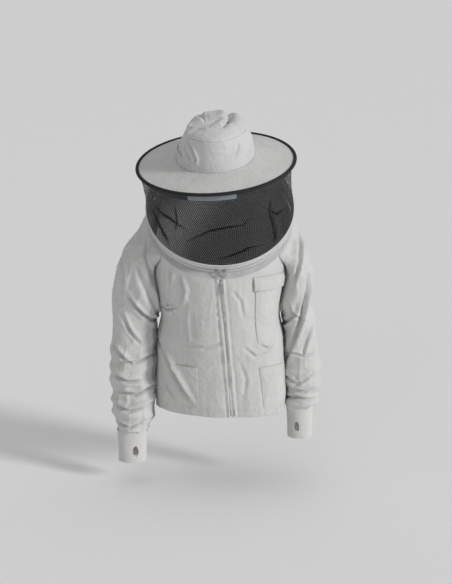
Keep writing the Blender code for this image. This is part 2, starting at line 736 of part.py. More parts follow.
def veil_point(u, v):
    """Veil surface from the ring piping to under the edge of the brim."""
    alpha = ring_angle(u)
    low = ring_point(alpha, RING_RADIUS + HEM_TAPE_HALF, VEIL_START)
    top_radius = BRIM_RADIUS - VEIL_TOP_INSET
    high = hat_point(alpha, top_radius, top_radius, -BRIM_DROP - VEIL_TOP_DROP)
    sag = 1.0 - VEIL_SAG * math.sin(math.pi * v)
    point = low.lerp(high, v)
    centre = Vector((HAT_CENTRE.x * v, HAT_CENTRE.y * v, point.z))
    return centre + (point - centre) * sag


def veil():
    """Black mesh and the stiffer tape along its top."""
    def mesh_point(u, v):
        return veil_point(u, v * 0.90)

    def tape_point(u, v):
        return veil_point(u, blend(0.905, 1.0, v))
    sheet("veil_mesh", mesh_point, RING_SEGMENTS, 4, VEIL_WALL, BLACK, closed=True)
    sheet("veil_tape", tape_point, RING_SEGMENTS, 1, VEIL_TAPE_WALL, BLACK, closed=True)


def brim():
    """Stitched conical brim and the binding round its edge."""
    def point(u, v):
        alpha = ring_angle(u)
        wide = blend(BRIM_RADIUS, CROWN_HALF_WIDTH + BRIM_CLEAR, v)
        long = blend(BRIM_RADIUS, CROWN_HALF_LENGTH + BRIM_CLEAR, v)
        return hat_point(alpha, wide, long, -BRIM_DROP * (1.0 - v) + BRIM_INNER_RISE * v)

    def edge_point(u, v):
        turn = 2.0 * math.pi * v
        radius = BRIM_RADIUS + BINDING_GAP + BINDING_RADIUS * (1.0 + math.cos(turn))
        height = -BRIM_DROP - BRIM_THICKNESS / 2.0 + BINDING_RADIUS * math.sin(turn)
        return hat_point(ring_angle(u), radius, radius, height)
    sheet("brim", point, RING_SEGMENTS, 1, BRIM_THICKNESS, WHITE, closed=True)
    closed_tube("brim_binding", edge_point, RING_SEGMENTS, 5, BLACK)


def crown():
    """Soft crown: side band, top panel and the sweatband inside."""
    def lean(height):
        return 1.0 - CROWN_TAPER * (max(height, 0.0) / CROWN_SIDE_HEIGHT) ** 2

    def side_point(u, v):
        taper = lean(CROWN_SIDE_HEIGHT * v)
        return hat_point(ring_angle(u), CROWN_HALF_WIDTH * taper - CROWN_WALL_INSET,
                         CROWN_HALF_LENGTH * taper - CROWN_WALL_INSET,
                         blend(CROWN_SEAM_CLEAR, CROWN_SIDE_HEIGHT, v))

    def top_point(u, v):
        turn = math.pi / 2.0 * v
        grow = math.cos(turn) * (1.0 - CROWN_TAPER)
        inset = CROWN_WALL_INSET * math.cos(turn)
        return hat_point(ring_angle(u), CROWN_HALF_WIDTH * grow - inset,
                         CROWN_HALF_LENGTH * grow - inset,
                         CROWN_SIDE_HEIGHT + CROWN_TOP_CLEAR + CROWN_TOP_RISE * math.sin(turn))

    def band_point(u, v):
        height = blend(*SWEATBAND_SPAN, v)
        return hat_point(ring_angle(u), CROWN_HALF_WIDTH * lean(height) - SWEATBAND_INSET,
                         CROWN_HALF_LENGTH * lean(height) - SWEATBAND_INSET, height)
    sheet("crown_side", side_point, 32, 5, FABRIC, WHITE, closed=True)
    dome("crown_top", top_point, 32, 4, FABRIC, WHITE)
    sheet("sweatband", band_point, 32, 2, SWEATBAND_WALL, WHITE, closed=True)


# ---- assembly -------------------------------------------------------------------------
def build():
    """Build every piece of the jacket and the hat."""
    clear_scene()
    for side in (LEFT, RIGHT):
        front_panel(side)
        side_vent(side)
        sleeve(side)
        sleeve_vent(side)
        cuff(side)
    back_panel()
    hem_band()
    collar_band()
    pocket("chest_pocket", LEFT, *CHEST_SPAN, *CHEST_POCKET_Z)
    chest_flap()
    for side in (LEFT, RIGHT):
        pocket("lower_pocket_" + SIDE_NAME[side], side, *LOWER_SPAN, *LOWER_POCKET_Z)
    front_zip()
    ring_zip()
    veil_hem()
    veil()
    brim()
    crown()


build()
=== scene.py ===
"""Looks of the beekeeping jacket with its round hat and veil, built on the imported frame."""

import json
import logging
import math
from dataclasses import dataclass, field
from enum import Enum
from typing import Any, Callable, Sequence

import bmesh
import bpy
import numpy as np
from mathutils import Matrix, Vector

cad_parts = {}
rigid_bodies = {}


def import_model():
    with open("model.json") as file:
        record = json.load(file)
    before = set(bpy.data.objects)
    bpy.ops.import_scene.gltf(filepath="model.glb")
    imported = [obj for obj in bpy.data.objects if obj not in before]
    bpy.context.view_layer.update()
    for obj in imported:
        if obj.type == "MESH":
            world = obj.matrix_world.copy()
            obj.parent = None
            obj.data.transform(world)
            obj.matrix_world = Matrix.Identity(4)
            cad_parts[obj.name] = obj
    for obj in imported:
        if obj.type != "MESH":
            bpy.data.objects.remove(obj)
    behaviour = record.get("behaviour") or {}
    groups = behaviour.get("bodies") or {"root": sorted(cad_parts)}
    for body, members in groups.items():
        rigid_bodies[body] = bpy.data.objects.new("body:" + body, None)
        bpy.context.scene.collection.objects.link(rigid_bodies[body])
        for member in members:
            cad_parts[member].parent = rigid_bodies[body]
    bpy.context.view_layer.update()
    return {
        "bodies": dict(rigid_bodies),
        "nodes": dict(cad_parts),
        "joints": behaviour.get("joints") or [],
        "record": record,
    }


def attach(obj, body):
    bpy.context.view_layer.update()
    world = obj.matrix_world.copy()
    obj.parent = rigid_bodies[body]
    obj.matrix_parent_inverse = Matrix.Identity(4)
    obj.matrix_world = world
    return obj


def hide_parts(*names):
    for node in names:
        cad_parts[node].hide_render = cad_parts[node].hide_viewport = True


LOG = logging.getLogger("beekeeping_jacket")
Grid = np.ndarray
Material = bpy.types.Material
Object = bpy.types.Object
SurfaceMap = Callable[[Grid, Grid], Grid]

MM = 0.001
NARROWEST_CUT = 10.0 * MM
CREASE_SHARPNESS = 0.64
CREASE_RELIEF = 1.7


class Side(Enum):
    """The wearer's two sides; the value is the sign of X."""

    LEFT = 1
    RIGHT = -1

    @property
    def label(self) -> str:
        """Side as it is written in piece names."""
        return self.name.lower()


# ---- small maths ----------------------------------------------------------------------
def linear(code: str) -> tuple[float, float, float, float]:
    """Turn an sRGB hex colour into linear RGBA.

    Args:
        code: six hex digits.

    Returns:
        Linear red, green, blue and an alpha of 1.
    """
    parts = [int(code[i:i + 2], 16) / 255.0 for i in (0, 2, 4)]
    lin = [c / 12.92 if c <= 0.04045 else ((c + 0.055) / 1.055) ** 2.4 for c in parts]
    return (lin[0], lin[1], lin[2], 1.0)


def smooth(t: Grid | float) -> Grid:
    """Smooth step of t, clamped to 0..1."""
    t = np.clip(t, 0.0, 1.0)
    return t * t * (3.0 - 2.0 * t)


def signed_power(value: Grid, exponent: Grid | float) -> Grid:
    """Power that keeps the sign, for superellipse sections."""
    return np.sign(value) * np.abs(value) ** exponent


def catmull(knots: Sequence[Grid], t: Grid) -> Grid:
    """Catmull-Rom curve through evenly spaced knots.

    Args:
        knots: arrays of one shape, one for each knot.
        t: place along the curve, 0..1, broadcastable to the knots.

    Returns:
        The interpolated array.
    """
    stack = np.stack(list(knots))
    stack = np.concatenate([2 * stack[:1] - stack[1:2], stack, 2 * stack[-1:] - stack[-2:-1]])
    count = len(knots) - 1
    x = np.clip(t, 0.0, 1.0) * count
    index = np.minimum(x.astype(int), count - 1)
    f = x - index
    if stack.ndim > t.ndim + 1:
        f = f[..., None]
    rows = np.indices(index.shape)
    p0, p1, p2, p3 = (stack[(index + k, *rows)] for k in range(4))
    return 0.5 * (2 * p1 + (p2 - p0) * f + (2 * p0 - 5 * p1 + 4 * p2 - p3) * f ** 2
                  + (3 * p1 - p0 - 3 * p2 + p3) * f ** 3)


def noise(points: Grid, pitch: Sequence[float], seed: int) -> Grid:
    """Smooth value noise in -1..1.

    Args:
        points: positions in metres, last axis 3.
        pitch: size of one noise cell along X, Y and Z, in metres.
        seed: number that picks the pattern.

    Returns:
        One value for each point.
    """
    table = np.random.default_rng(seed).uniform(-1.0, 1.0, 4096)
    cell = points / np.asarray(pitch)
    base = np.floor(cell).astype(np.int64)
    f = smooth(cell - base)
    total = np.zeros(points.shape[:-1])
    for corner in range(8):
        step = np.array([corner & 1, corner >> 1 & 1, corner >> 2 & 1])
        lattice = base + step
        key = (lattice[..., 0] * 73 + lattice[..., 1] * 1193 + lattice[..., 2] * 2741) % 4096
        weight = np.prod(np.where(step == 1, f, 1.0 - f), axis=-1)
        total += table[key] * weight
    return total


def ridges(points: Grid, pitch: Sequence[float], seed: int) -> Grid:
    """Ridged noise in 0..1: sharp crests and soft hollows, as in creased cotton."""
    bend = noise(points, [p * 2.1 for p in pitch], seed + 7)[..., None]
    return (1.0 - np.abs(noise(points + bend * np.asarray(pitch) * 0.55, pitch, seed))) ** 2.5


# ---- folds ----------------------------------------------------------------------------
@dataclass(frozen=True)
class Crease:
    """A fold line seen along one axis: points, half width and depth in metres.

    The points are (x, z), seen from the front, or (x, y), seen from above.
    """

    line: tuple[tuple[float, float], ...]
    width: float = 0.005
    depth: float = 0.004
    lip: float = 0.7
    from_above: bool = False

    def raise_at(self, points: Grid) -> Grid:
        """Height of the fold at each point.

        Args:
            points: positions in metres.

        Returns:
            Displacement along the surface normal, in metres.
        """
        best = np.full(points.shape[:-1], 1.0)
        signed = np.zeros_like(best)
        taper = np.zeros_like(best)
        count = len(self.line) - 1
        flat = points[..., [0, 1] if self.from_above else [0, 2]]
        for i, (a, b) in enumerate(zip(self.line, self.line[1:])):
            start, run = np.array(a), np.array(b) - np.array(a)
            t = np.clip(((flat - start) @ run) / (run @ run), 0.0, 1.0)
            gap = flat - (start + t[..., None] * run)
            distance = np.hypot(gap[..., 0], gap[..., 1])
            nearer = distance < best
            turn = np.sign(run[0] * gap[..., 1] - run[1] * gap[..., 0])
            best = np.where(nearer, distance, best)
            signed = np.where(nearer, distance * turn, signed)
            taper = np.where(nearer, (i + t) / count, taper)
        fade = np.sin(math.pi * np.clip(taper, 0.0, 1.0)) ** 0.7
        w = self.width * CREASE_SHARPNESS
        valley = -np.exp(-(signed / w) ** 2)
        crest = self.lip * np.exp(-((signed - 1.9 * w) / (1.5 * w)) ** 2)
        back = 0.3 * np.exp(-((signed + 2.2 * w) / (1.8 * w)) ** 2)
        return self.depth * CREASE_RELIEF * fade * (valley + crest + back)


@dataclass(frozen=True)
class Roll:
    """A tuck that runs round a sleeve: height z at its middle, with slopes across it."""

    z: float
    slope_x: float
    slope_y: float
    width: float
    height: float


@dataclass
class Folds:
    """All the folds of one piece of cloth."""

    creases: tuple[Crease, ...] = ()
    rolls: tuple[Roll, ...] = ()
    middle: tuple[float, float] = (0.0, 0.0)
    pitch: tuple[float, float, float] = (0.045, 0.045, 0.110)
    swell: float = 0.0016
    crumple: float = 0.0010
    seed: int = 1

    def raise_at(self, points: Grid, normals: Grid) -> Grid:
        """Displacement of the cloth along its normal.

        Args:
            points: surface positions in metres.
            normals: unit normals there.

        Returns:
            Displacement in metres.
        """
        total = self.swell * noise(points, self.pitch, self.seed)
        fine = [p * 0.42 for p in self.pitch]
        total += self.crumple * (ridges(points, fine, self.seed + 3) - 0.35)
        finest = ridges(points, [0.013, 0.013, 0.016], self.seed + 5)
        total += 0.25 * self.crumple * (finest - 0.35)
        facing = smooth(0.5 - 1.6 * normals[..., 1])
        upward = smooth(2.0 * normals[..., 2])
        for crease in self.creases:
            total += (upward if crease.from_above else facing) * crease.raise_at(points)
        for roll in self.rolls:
            level = (points[..., 2] - roll.z - roll.slope_x * (points[..., 0] - self.middle[0])
                     - roll.slope_y * (points[..., 1] - self.middle[1]))
            level += 0.006 * noise(points, [0.05, 0.05, 0.05], self.seed + 11)
            total += roll.height * np.exp(-np.abs(level / roll.width) ** 1.7)
        return total


# ---- cloth meshes ---------------------------------------------------------------------
def surface_normals(surface: SurfaceMap, a: Grid, b: Grid, outward: float) -> Grid:
    """Unit normals of a surface from small steps in its two parameters."""
    step = 1e-3
    along = surface(a + step, b) - surface(a - step, b)
    up = surface(a, b + step) - surface(a, b - step)
    normal = np.cross(along, up) * outward
    return normal / np.maximum(np.linalg.norm(normal, axis=-1, keepdims=True), 1e-12)


@dataclass
class Cloth:
    """One cut piece of cloth laid over a surface of two parameters.

    The grid runs from a0 to a1 (which may vary with b) and from b0 to b1.
    """

    name: str
    surface: SurfaceMap
    a0: Callable[[Grid], Grid]
    a1: Callable[[Grid], Grid]
    b0: float
    b1: float
    columns: int
    rows: int
    outward: float = 1.0
    closed: bool = False
    wall: float = 1.0 * MM
    folds: Folds | None = None
    fade: Callable[[Grid, Grid, Grid], Grid] | None = None
    shape: Callable[[Grid, Grid, Grid, Grid], Grid] | None = None
    mid: Grid = field(init=False, repr=False, default=None)

    def build(self) -> Object:
        """Mesh the piece, with lengths in metres as UVs and distances to its edges.

        Returns:
            The finished cloth object, thickened inwards.
        """
        u = np.linspace(0.0, 1.0, self.columns + 1)[None, :]
        b = np.linspace(self.b0, self.b1, self.rows + 1)[:, None]
        a = self.a0(b) + (self.a1(b) - self.a0(b)) * u
        b = np.broadcast_to(b, a.shape)
        points = self.surface(a, b)
        normals = surface_normals(self.surface, a, b, self.outward)
        lift = np.zeros(a.shape)
        if self.folds is not None:
            lift = self.folds.raise_at(points, normals)
        if self.fade is not None:
            lift = lift * self.fade(a, b, points)
        if self.shape is not None:
            lift = lift + self.shape(a, b, np.broadcast_to(u, a.shape), points)
        if self.closed:
            lift[:, -1] = lift[:, 0]
        points = points + normals * lift[..., None]
        self.mid = points
        return self.mesh(points)

    def mesh(self, points: Grid) -> Object:
        """Turn the grid of points into an object with UVs and edge distances."""
        rows, columns = points.shape[:2]
        across = np.linalg.norm(np.diff(points, axis=1), axis=-1)
        along = np.linalg.norm(np.diff(points, axis=0), axis=-1)
        width = np.concatenate([np.zeros((rows, 1)), np.cumsum(across, axis=1)], axis=1)
        length = np.concatenate([np.zeros((1, columns)), np.cumsum(along, axis=0)], axis=0)
        length = np.broadcast_to(length.mean(axis=1, keepdims=True), (rows, columns))
        side_gap = np.minimum(width, width[:, -1:] - width)
        end_gap = np.minimum(length, length[-1:, :] - length)
        if self.closed:
            side_gap = np.full_like(side_gap, 1.0)
        used = columns - 1 if self.closed else columns
        index = np.arange(rows * used).reshape(rows, used)
        if self.closed:
            index = np.concatenate([index, index[:, :1]], axis=1)
        quads = np.stack([index[:-1, :-1], index[:-1, 1:], index[1:, 1:], index[1:, :-1]], -1)
        corner = np.arange(rows * columns).reshape(rows, columns)
        uvs = np.stack([corner[:-1, :-1], corner[:-1, 1:], corner[1:, 1:], corner[1:, :-1]], -1)
        if self.outward < 0:
            quads, uvs = quads[..., ::-1], uvs[..., ::-1]
        quads, uvs = quads.reshape(-1, 4), uvs.reshape(-1, 4)
        mesh = bpy.data.meshes.new(self.name)
        mesh.from_pydata(points[:, :used].reshape(-1, 3).tolist(), [], quads.tolist())
        layer = mesh.uv_layers.new(name="cloth")
        flat = np.stack([width, length], -1).reshape(-1, 2)[uvs.reshape(-1)]
        layer.data.foreach_set("uv", flat.reshape(-1).astype(np.float32))
        edge = mesh.attributes.new("edge", "FLOAT_VECTOR", "POINT")
        gaps = np.stack([side_gap[:, :used], end_gap[:, :used], np.zeros((rows, used))], -1)
        edge.data.foreach_set("vector", gaps.reshape(-1).astype(np.float32))
        obj = smooth_object(self.name, mesh)
        if self.wall > 0.0:
            thicken(obj, self.wall)
        return obj

    def dress(self, material: Material, slot: str, body: str, node: str, held: str,
              *rests_on: str) -> None:
        obj = finish_piece(self.build(), material, slot, body, *([node] if node else []))
        self.declare()

    def flat_size(self) -> tuple[float, float, float]:
        """Width, length and area of the cloth before it was sewn, in metres."""
        points = self.mid
        across = np.linalg.norm(np.diff(points, axis=1), axis=-1).sum(axis=1)
        along = np.linalg.norm(np.diff(points, axis=0), axis=-1).sum(axis=0)
        d1 = points[1:, 1:] - points[:-1, :-1]
        d2 = points[1:, :-1] - points[:-1, 1:]
        area = 0.5 * np.linalg.norm(np.cross(d1, d2), axis=-1).sum()
        return float(across.mean()), float(along.mean()), float(area)

    def declare(self) -> None:
        width, length, area = self.flat_size()
        width, length = max(width, NARROWEST_CUT), max(length, NARROWEST_CUT)
        LOG.info("%s: cut %.3f x %.3f m, %.4f m2", self.name, width, length, area)


def smooth_object(name: str, mesh: bpy.types.Mesh) -> Object:
    """Put a smooth-shaded mesh into the scene."""
    mesh.shade_smooth()
    obj = bpy.data.objects.new(name, mesh)
    bpy.context.scene.collection.objects.link(obj)
    return obj


def apply_modifiers(obj: Object) -> None:
    """Apply every modifier of an object."""
    bpy.ops.object.select_all(action="DESELECT")
    bpy.context.view_layer.objects.active = obj
    obj.select_set(True)
    for modifier in list(obj.modifiers):
        bpy.ops.object.modifier_apply(modifier=modifier.name)
    obj.select_set(False)


def thicken(obj: Object, wall: float) -> None:
    """Give a cloth its wall, grown inwards."""
    solid = obj.modifiers.new("wall", "SOLIDIFY")
    solid.thickness, solid.offset = wall, -1.0
    apply_modifiers(obj)


def steady(value: float) -> Callable[[Grid], Grid]:
    """Grid edge that stays at one value."""
    return lambda b: np.full_like(b, value, dtype=float)


# ---- finishes -------------------------------------------------------------------------
def add_node(tree: bpy.types.NodeTree, kind: str, settings: dict[str, Any] | None = None,
             **links: Any) -> bpy.types.Node:
    """Add a node, set its properties and constants, and link its inputs.

    Args:
        tree: node tree to add to.
        kind: Blender's node type.
        settings: property names and values, or input names and values.
        links: input name (underscores for spaces, or _0, _1 for a number) to output socket.

    Returns:
        The new node.
    """
    node = tree.nodes.new(kind)
    for key, value in (settings or {}).items():
        if isinstance(key, int) or key in node.inputs:
            node.inputs[key].default_value = value
        else:
            setattr(node, key, value)
    for key, socket in links.items():
        target = int(key[1:]) if key[0] == "_" else key.replace("_", " ")
        tree.links.new(socket, node.inputs[target])
    return node


def maths(tree: bpy.types.NodeTree, operation: str, *values: Any) -> bpy.types.NodeSocket:
    """Math node whose inputs are sockets or numbers; returns its output socket."""
    node = add_node(tree, "ShaderNodeMath", {"operation": operation})
    for i, value in enumerate(values):
        if isinstance(value, (int, float)):
            node.inputs[i].default_value = value
        else:
            tree.links.new(value, node.inputs[i])
    return node.outputs[0]


def blend_colour(tree: bpy.types.NodeTree, factor: bpy.types.NodeSocket, first: Any,
                 second: Any) -> bpy.types.NodeSocket:
    """Mix two colours, given as hex codes or sockets; returns the colour socket."""
    node = add_node(tree, "ShaderNodeMix", {"data_type": "RGBA"})
    tree.links.new(factor, node.inputs["Factor"])
    sockets = [socket for socket in node.inputs if socket.type == "RGBA"]
    for socket, value in zip(sockets, (first, second)):
        if isinstance(value, str):
            socket.default_value = linear(value)
        else:
            tree.links.new(value, socket)
    return next(socket for socket in node.outputs if socket.type == "RGBA")


def new_material(name: str) -> tuple[Material, bpy.types.NodeTree, bpy.types.Node]:
    """Empty Principled material; returns it, its tree and the shader node."""
    material = bpy.data.materials.new(name)
    material.use_nodes = True
    return material, material.node_tree, material.node_tree.nodes["Principled BSDF"]


def cloth_map(tree: bpy.types.NodeTree) -> bpy.types.NodeSocket:
    """Place on the cloth in metres, from its own UV map."""
    return add_node(tree, "ShaderNodeUVMap", {"uv_map": "cloth"}).outputs["UV"]


def relief(tree: bpy.types.NodeTree, height: bpy.types.NodeSocket, strength: float,
           distance: float, invert: bool = False, **links: Any) -> bpy.types.NodeSocket:
    """Bump of a height socket, in metres; returns the normal socket."""
    node = add_node(tree, "ShaderNodeBump", {"Strength": strength, "Distance": distance,
                                             "invert": invert}, Height=height, **links)
    return node.outputs["Normal"]


def connect(tree: bpy.types.NodeTree, shader: bpy.types.Node, colour: bpy.types.NodeSocket,
            normal: bpy.types.NodeSocket, roughness: float | None = None) -> None:
    """Link colour and normal to the shader and set its roughness."""
    tree.links.new(colour, shader.inputs["Base Color"])
    tree.links.new(normal, shader.inputs["Normal"])
    if roughness is not None:
        shader.inputs["Roughness"].default_value = roughness


def stitch_rows(tree: bpy.types.NodeTree, rows: Sequence[float], on_sides: bool,
                on_ends: bool) -> bpy.types.NodeSocket:
    """Mask of topstitching at set distances from the cut edges.

    Stitches are 3 mm long with 1 mm gaps, and the thread is drawn 1.1 mm wide, about
    twice the real one, so that it still shows.
    """
    edge = add_node(tree, "ShaderNodeAttribute", {"attribute_name": "edge"})
    gaps = add_node(tree, "ShaderNodeSeparateXYZ", _0=edge.outputs["Vector"])
    place = add_node(tree, "ShaderNodeSeparateXYZ", _0=cloth_map(tree))
    total = None
    pairs = [(gaps.outputs[0], place.outputs[1])] if on_sides else []
    if on_ends:
        pairs.append((gaps.outputs[1], place.outputs[0]))
    for gap, run in pairs:
        beat = maths(tree, "FRACT", maths(tree, "MULTIPLY", run, 1.0 / (4.0 * MM)))
        dash = maths(tree, "LESS_THAN", beat, 0.75)
        for row in rows:
            off = maths(tree, "ABSOLUTE", maths(tree, "SUBTRACT", gap, row))
            line = maths(tree, "SUBTRACT", 1.0, maths(tree, "DIVIDE", off, 0.9 * MM))
            mark = maths(tree, "MULTIPLY", maths(tree, "MAXIMUM", line, 0.0), dash)
            total = mark if total is None else maths(tree, "MAXIMUM", total, mark)
    return total


@dataclass(frozen=True)
class CottonTwill:
    """Bleached cotton-polyester twill: matt, faintly napped, with a fine diagonal weave."""

    name: str = "cotton_polyester_twill"
    light: str = "D8D8D7"
    shade: str = "C2C2C1"
    rows: tuple[float, ...] = (1.5 * MM, 7.0 * MM)
    on_sides: bool = True
    on_ends: bool = False
    pucker: float = 0.5

    def material(self) -> Material:
        """Build the node material."""
        material, tree, shader = new_material(self.name)
        coords = add_node(tree, "ShaderNodeTexCoord")
        place = coords.outputs["Object"]
        uv = cloth_map(tree)
        # Slubs and handling marks: soft tone changes a few centimetres across.
        cloud = add_node(tree, "ShaderNodeTexNoise",
                         {"Scale": 28.0, "Detail": 5.0, "Roughness": 0.6}, Vector=place)
        colour = blend_colour(tree, cloud.outputs["Fac"], self.light, self.shade)
        # Twill lines: threads are 0.35 mm apart, drawn at 2.4 mm so that they can show.
        turned = add_node(tree, "ShaderNodeMapping", {"Rotation": (0.0, 0.0, math.radians(63))},
                          Vector=uv)
        twill = add_node(tree, "ShaderNodeTexWave",
                         {"Scale": 0.314 / (2.4 * MM), "Distortion": 0.6, "Detail": 1.0,
                          "Detail Scale": 2.0}, Vector=turned.outputs["Vector"])
        weave = relief(tree, twill.outputs["Fac"], 0.12, 0.0004)
        # Small crumples, 8 to 20 mm, that pressing leaves in the cloth.
        creased = add_node(tree, "ShaderNodeTexNoise",
                           {"Scale": 55.0, "Detail": 4.0, "Roughness": 0.55,
                            "Distortion": 1.4}, Vector=place)
        normal = relief(tree, creased.outputs["Fac"], 0.55, 0.0035, Normal=weave)
        if self.on_sides or self.on_ends:
            mask = stitch_rows(tree, self.rows, self.on_sides, self.on_ends)
            normal = relief(tree, mask, self.pucker, 0.0012, True, Normal=normal)
            colour = blend_colour(tree, maths(tree, "MULTIPLY", mask, 0.22), colour, "A8A8A6")
        connect(tree, shader, colour, normal, 0.88)
        shader.inputs["IOR"].default_value = 1.46
        shader.inputs["Sheen Weight"].default_value = 0.12
        shader.inputs["Sheen Roughness"].default_value = 0.5
        return material


@dataclass(frozen=True)
class KnitRib:
    """Ribbed cotton knit of the cuffs: soft upright ribs about 2.5 mm apart, with painted shade
    in the hollows between them.
    """

    name: str = "cotton_rib_knit"
    light: str = "DEDDDB"
    shade: str = "CAC9C6"

    def material(self) -> Material:
        """Build the node material."""
        material, tree, shader = new_material(self.name)
        uv = cloth_map(tree)
        # Ribs are 2.5 mm apart, drawn at 5.4 mm so that they can show.
        rib = add_node(tree, "ShaderNodeTexWave",
                       {"Scale": 0.314 / (5.4 * MM), "Distortion": 0.0, "Detail": 0.0},
                       Vector=uv)
        loops = add_node(tree, "ShaderNodeTexWave",
                         {"bands_direction": "Y", "Scale": 0.314 / (3.0 * MM)},
                         Vector=uv)
        height = maths(tree, "ADD", rib.outputs["Fac"],
                       maths(tree, "MULTIPLY", loops.outputs["Fac"], 0.3))
        # Painted shade: the rib hollows take the darker colour and the crests the lighter one.
        colour = blend_colour(tree, rib.outputs["Fac"], self.shade, self.light)
        connect(tree, shader, colour, relief(tree, height, 0.25, 0.0008), 0.95)
        shader.inputs["Sheen Weight"].default_value = 0.25
        return material


@dataclass(frozen=True)
class SpacerMesh:
    """Ventilated polyester spacer mesh: white threads round rows of small holes, painted dark as
    the shade inside them.
    """

    name: str = "polyester_spacer_mesh"
    thread: str = "CACAC9"
    # Painted shade inside the holes.
    hollow: str = "4A4A4C"
    pitch: float = 7.0 * MM

    def material(self) -> Material:
        """Build the node material; holes are 3 mm apart, drawn at the pitch field."""
        material, tree, shader = new_material(self.name)
        uv = cloth_map(tree)
        axes = add_node(tree, "ShaderNodeSeparateXYZ", _0=uv)
        row = maths(tree, "DIVIDE", axes.outputs[1], self.pitch)
        odd = maths(tree, "MULTIPLY", maths(tree, "MODULO", maths(tree, "FLOOR", row), 2.0), 0.5)
        column = maths(tree, "ADD", maths(tree, "DIVIDE", axes.outputs[0], self.pitch), odd)
        fx = maths(tree, "SUBTRACT", maths(tree, "FRACT", column), 0.5)
        fy = maths(tree, "SUBTRACT", maths(tree, "FRACT", row), 0.5)
        radius = maths(tree, "SQRT", maths(tree, "ADD", maths(tree, "MULTIPLY", fx, fx),
                                           maths(tree, "MULTIPLY", fy, fy)))
        hole = add_node(tree, "ShaderNodeMapRange",
                        {"From Min": 0.22, "From Max": 0.34, "To Min": 1.0, "To Max": 0.0,
                         "interpolation_type": "SMOOTHSTEP"}, Value=radius)
        # Painted shade: each hole takes a dark grey in place of the shade seen through it.
        colour = blend_colour(tree, hole.outputs[0], self.thread, self.hollow)
        connect(tree, shader, colour, relief(tree, hole.outputs[0], 0.8, 0.0015, True), 0.9)
        return material


@dataclass(frozen=True)
class VeilNet:
    """Black polyester net: crossed threads with clear square openings between them."""

    name: str = "black_polyester_net"
    colour: str = "161617"
    pitch: float = 3.6 * MM
    thread: float = 0.38

    def material(self) -> Material:
        """Build the node material; meshes are 1.8 mm apart, drawn at the pitch field."""
        material, tree, shader = new_material(self.name)
        uv = cloth_map(tree)
        axes = add_node(tree, "ShaderNodeSeparateXYZ", _0=uv)
        slant = (maths(tree, "ADD", *axes.outputs[:2]),
                 maths(tree, "SUBTRACT", *axes.outputs[:2]))
        bars = []
        for axis in slant:
            beat = maths(tree, "FRACT", maths(tree, "DIVIDE", axis, self.pitch * math.sqrt(2)))
            off = maths(tree, "ABSOLUTE", maths(tree, "SUBTRACT", beat, 0.5))
            bars.append(maths(tree, "GREATER_THAN", off, 0.5 - self.thread / 2.0))
        net = maths(tree, "MAXIMUM", bars[0], bars[1])
        # Along the crease valleys the net is made opaque: partly the threads closing up where
        # the net doubles back, partly painted shade in the folds.
        fold = add_node(tree, "ShaderNodeAttribute", {"attribute_name": "fold"})
        alpha = maths(tree, "MAXIMUM", net, fold.outputs["Fac"])
        tree.links.new(alpha, shader.inputs["Alpha"])
        shader.inputs["Base Color"].default_value = linear(self.colour)
        shader.inputs["Roughness"].default_value = 0.65
        wave = add_node(tree, "ShaderNodeTexNoise", {"Scale": 40.0, "Detail": 3.0},
                        Vector=uv)
        tree.links.new(relief(tree, wave.outputs["Fac"], 0.3, 0.002), shader.inputs["Normal"])
        return material


@dataclass(frozen=True)
class WovenTape:
    """Narrow woven polyester tape: cross ribs a few millimetres apart, with painted shade in the
    hollows between them.
    """

    name: str
    light: str
    shade: str
    pitch: float = 3.0 * MM
    roughness: float = 0.8

    def material(self) -> Material:
        """Build the node material; ribs are 0.8 mm apart, drawn at the pitch field."""
        material, tree, shader = new_material(self.name)
        uv = cloth_map(tree)
        rib = add_node(tree, "ShaderNodeTexWave",
                       {"Scale": 0.314 / self.pitch, "Distortion": 0.8, "Detail": 2.0},
                       Vector=uv)
        coords = add_node(tree, "ShaderNodeTexCoord")
        cloud = add_node(tree, "ShaderNodeTexNoise", {"Scale": 90.0, "Detail": 4.0},
                         Vector=coords.outputs["Object"])
        # Painted shade in the rib hollows, mixed with random tone from the cloud noise.
        tone = maths(tree, "MULTIPLY", rib.outputs["Fac"], cloud.outputs["Fac"])
        colour = blend_colour(tree, tone, self.shade, self.light)
        normal = relief(tree, rib.outputs["Fac"], 0.4, 0.0006)
        connect(tree, shader, colour, normal, self.roughness)
        return material


@dataclass(frozen=True)
class PlatedMetal:
    """Nickel-plated brass of sliders and pulls: dulled, with fine tumbling marks."""

    name: str = "nickel_plated_brass"
    light: str = "C4C5C7"
    shade: str = "97989B"

    def material(self) -> Material:
        """Build the node material."""
        material, tree, shader = new_material(self.name)
        coords = add_node(tree, "ShaderNodeTexCoord")
        wear = add_node(tree, "ShaderNodeTexNoise", {"Scale": 420.0, "Detail": 6.0},
                        Vector=coords.outputs["Object"])
        colour = blend_colour(tree, wear.outputs["Fac"], self.light, self.shade)
        rough = add_node(tree, "ShaderNodeMapRange", {"To Min": 0.28, "To Max": 0.5},
                         Value=wear.outputs["Fac"])
        tree.links.new(rough.outputs[0], shader.inputs["Roughness"])
        connect(tree, shader, colour, relief(tree, wear.outputs["Fac"], 0.1, 0.0001))
        shader.inputs["Metallic"].default_value = 1.0
        return material


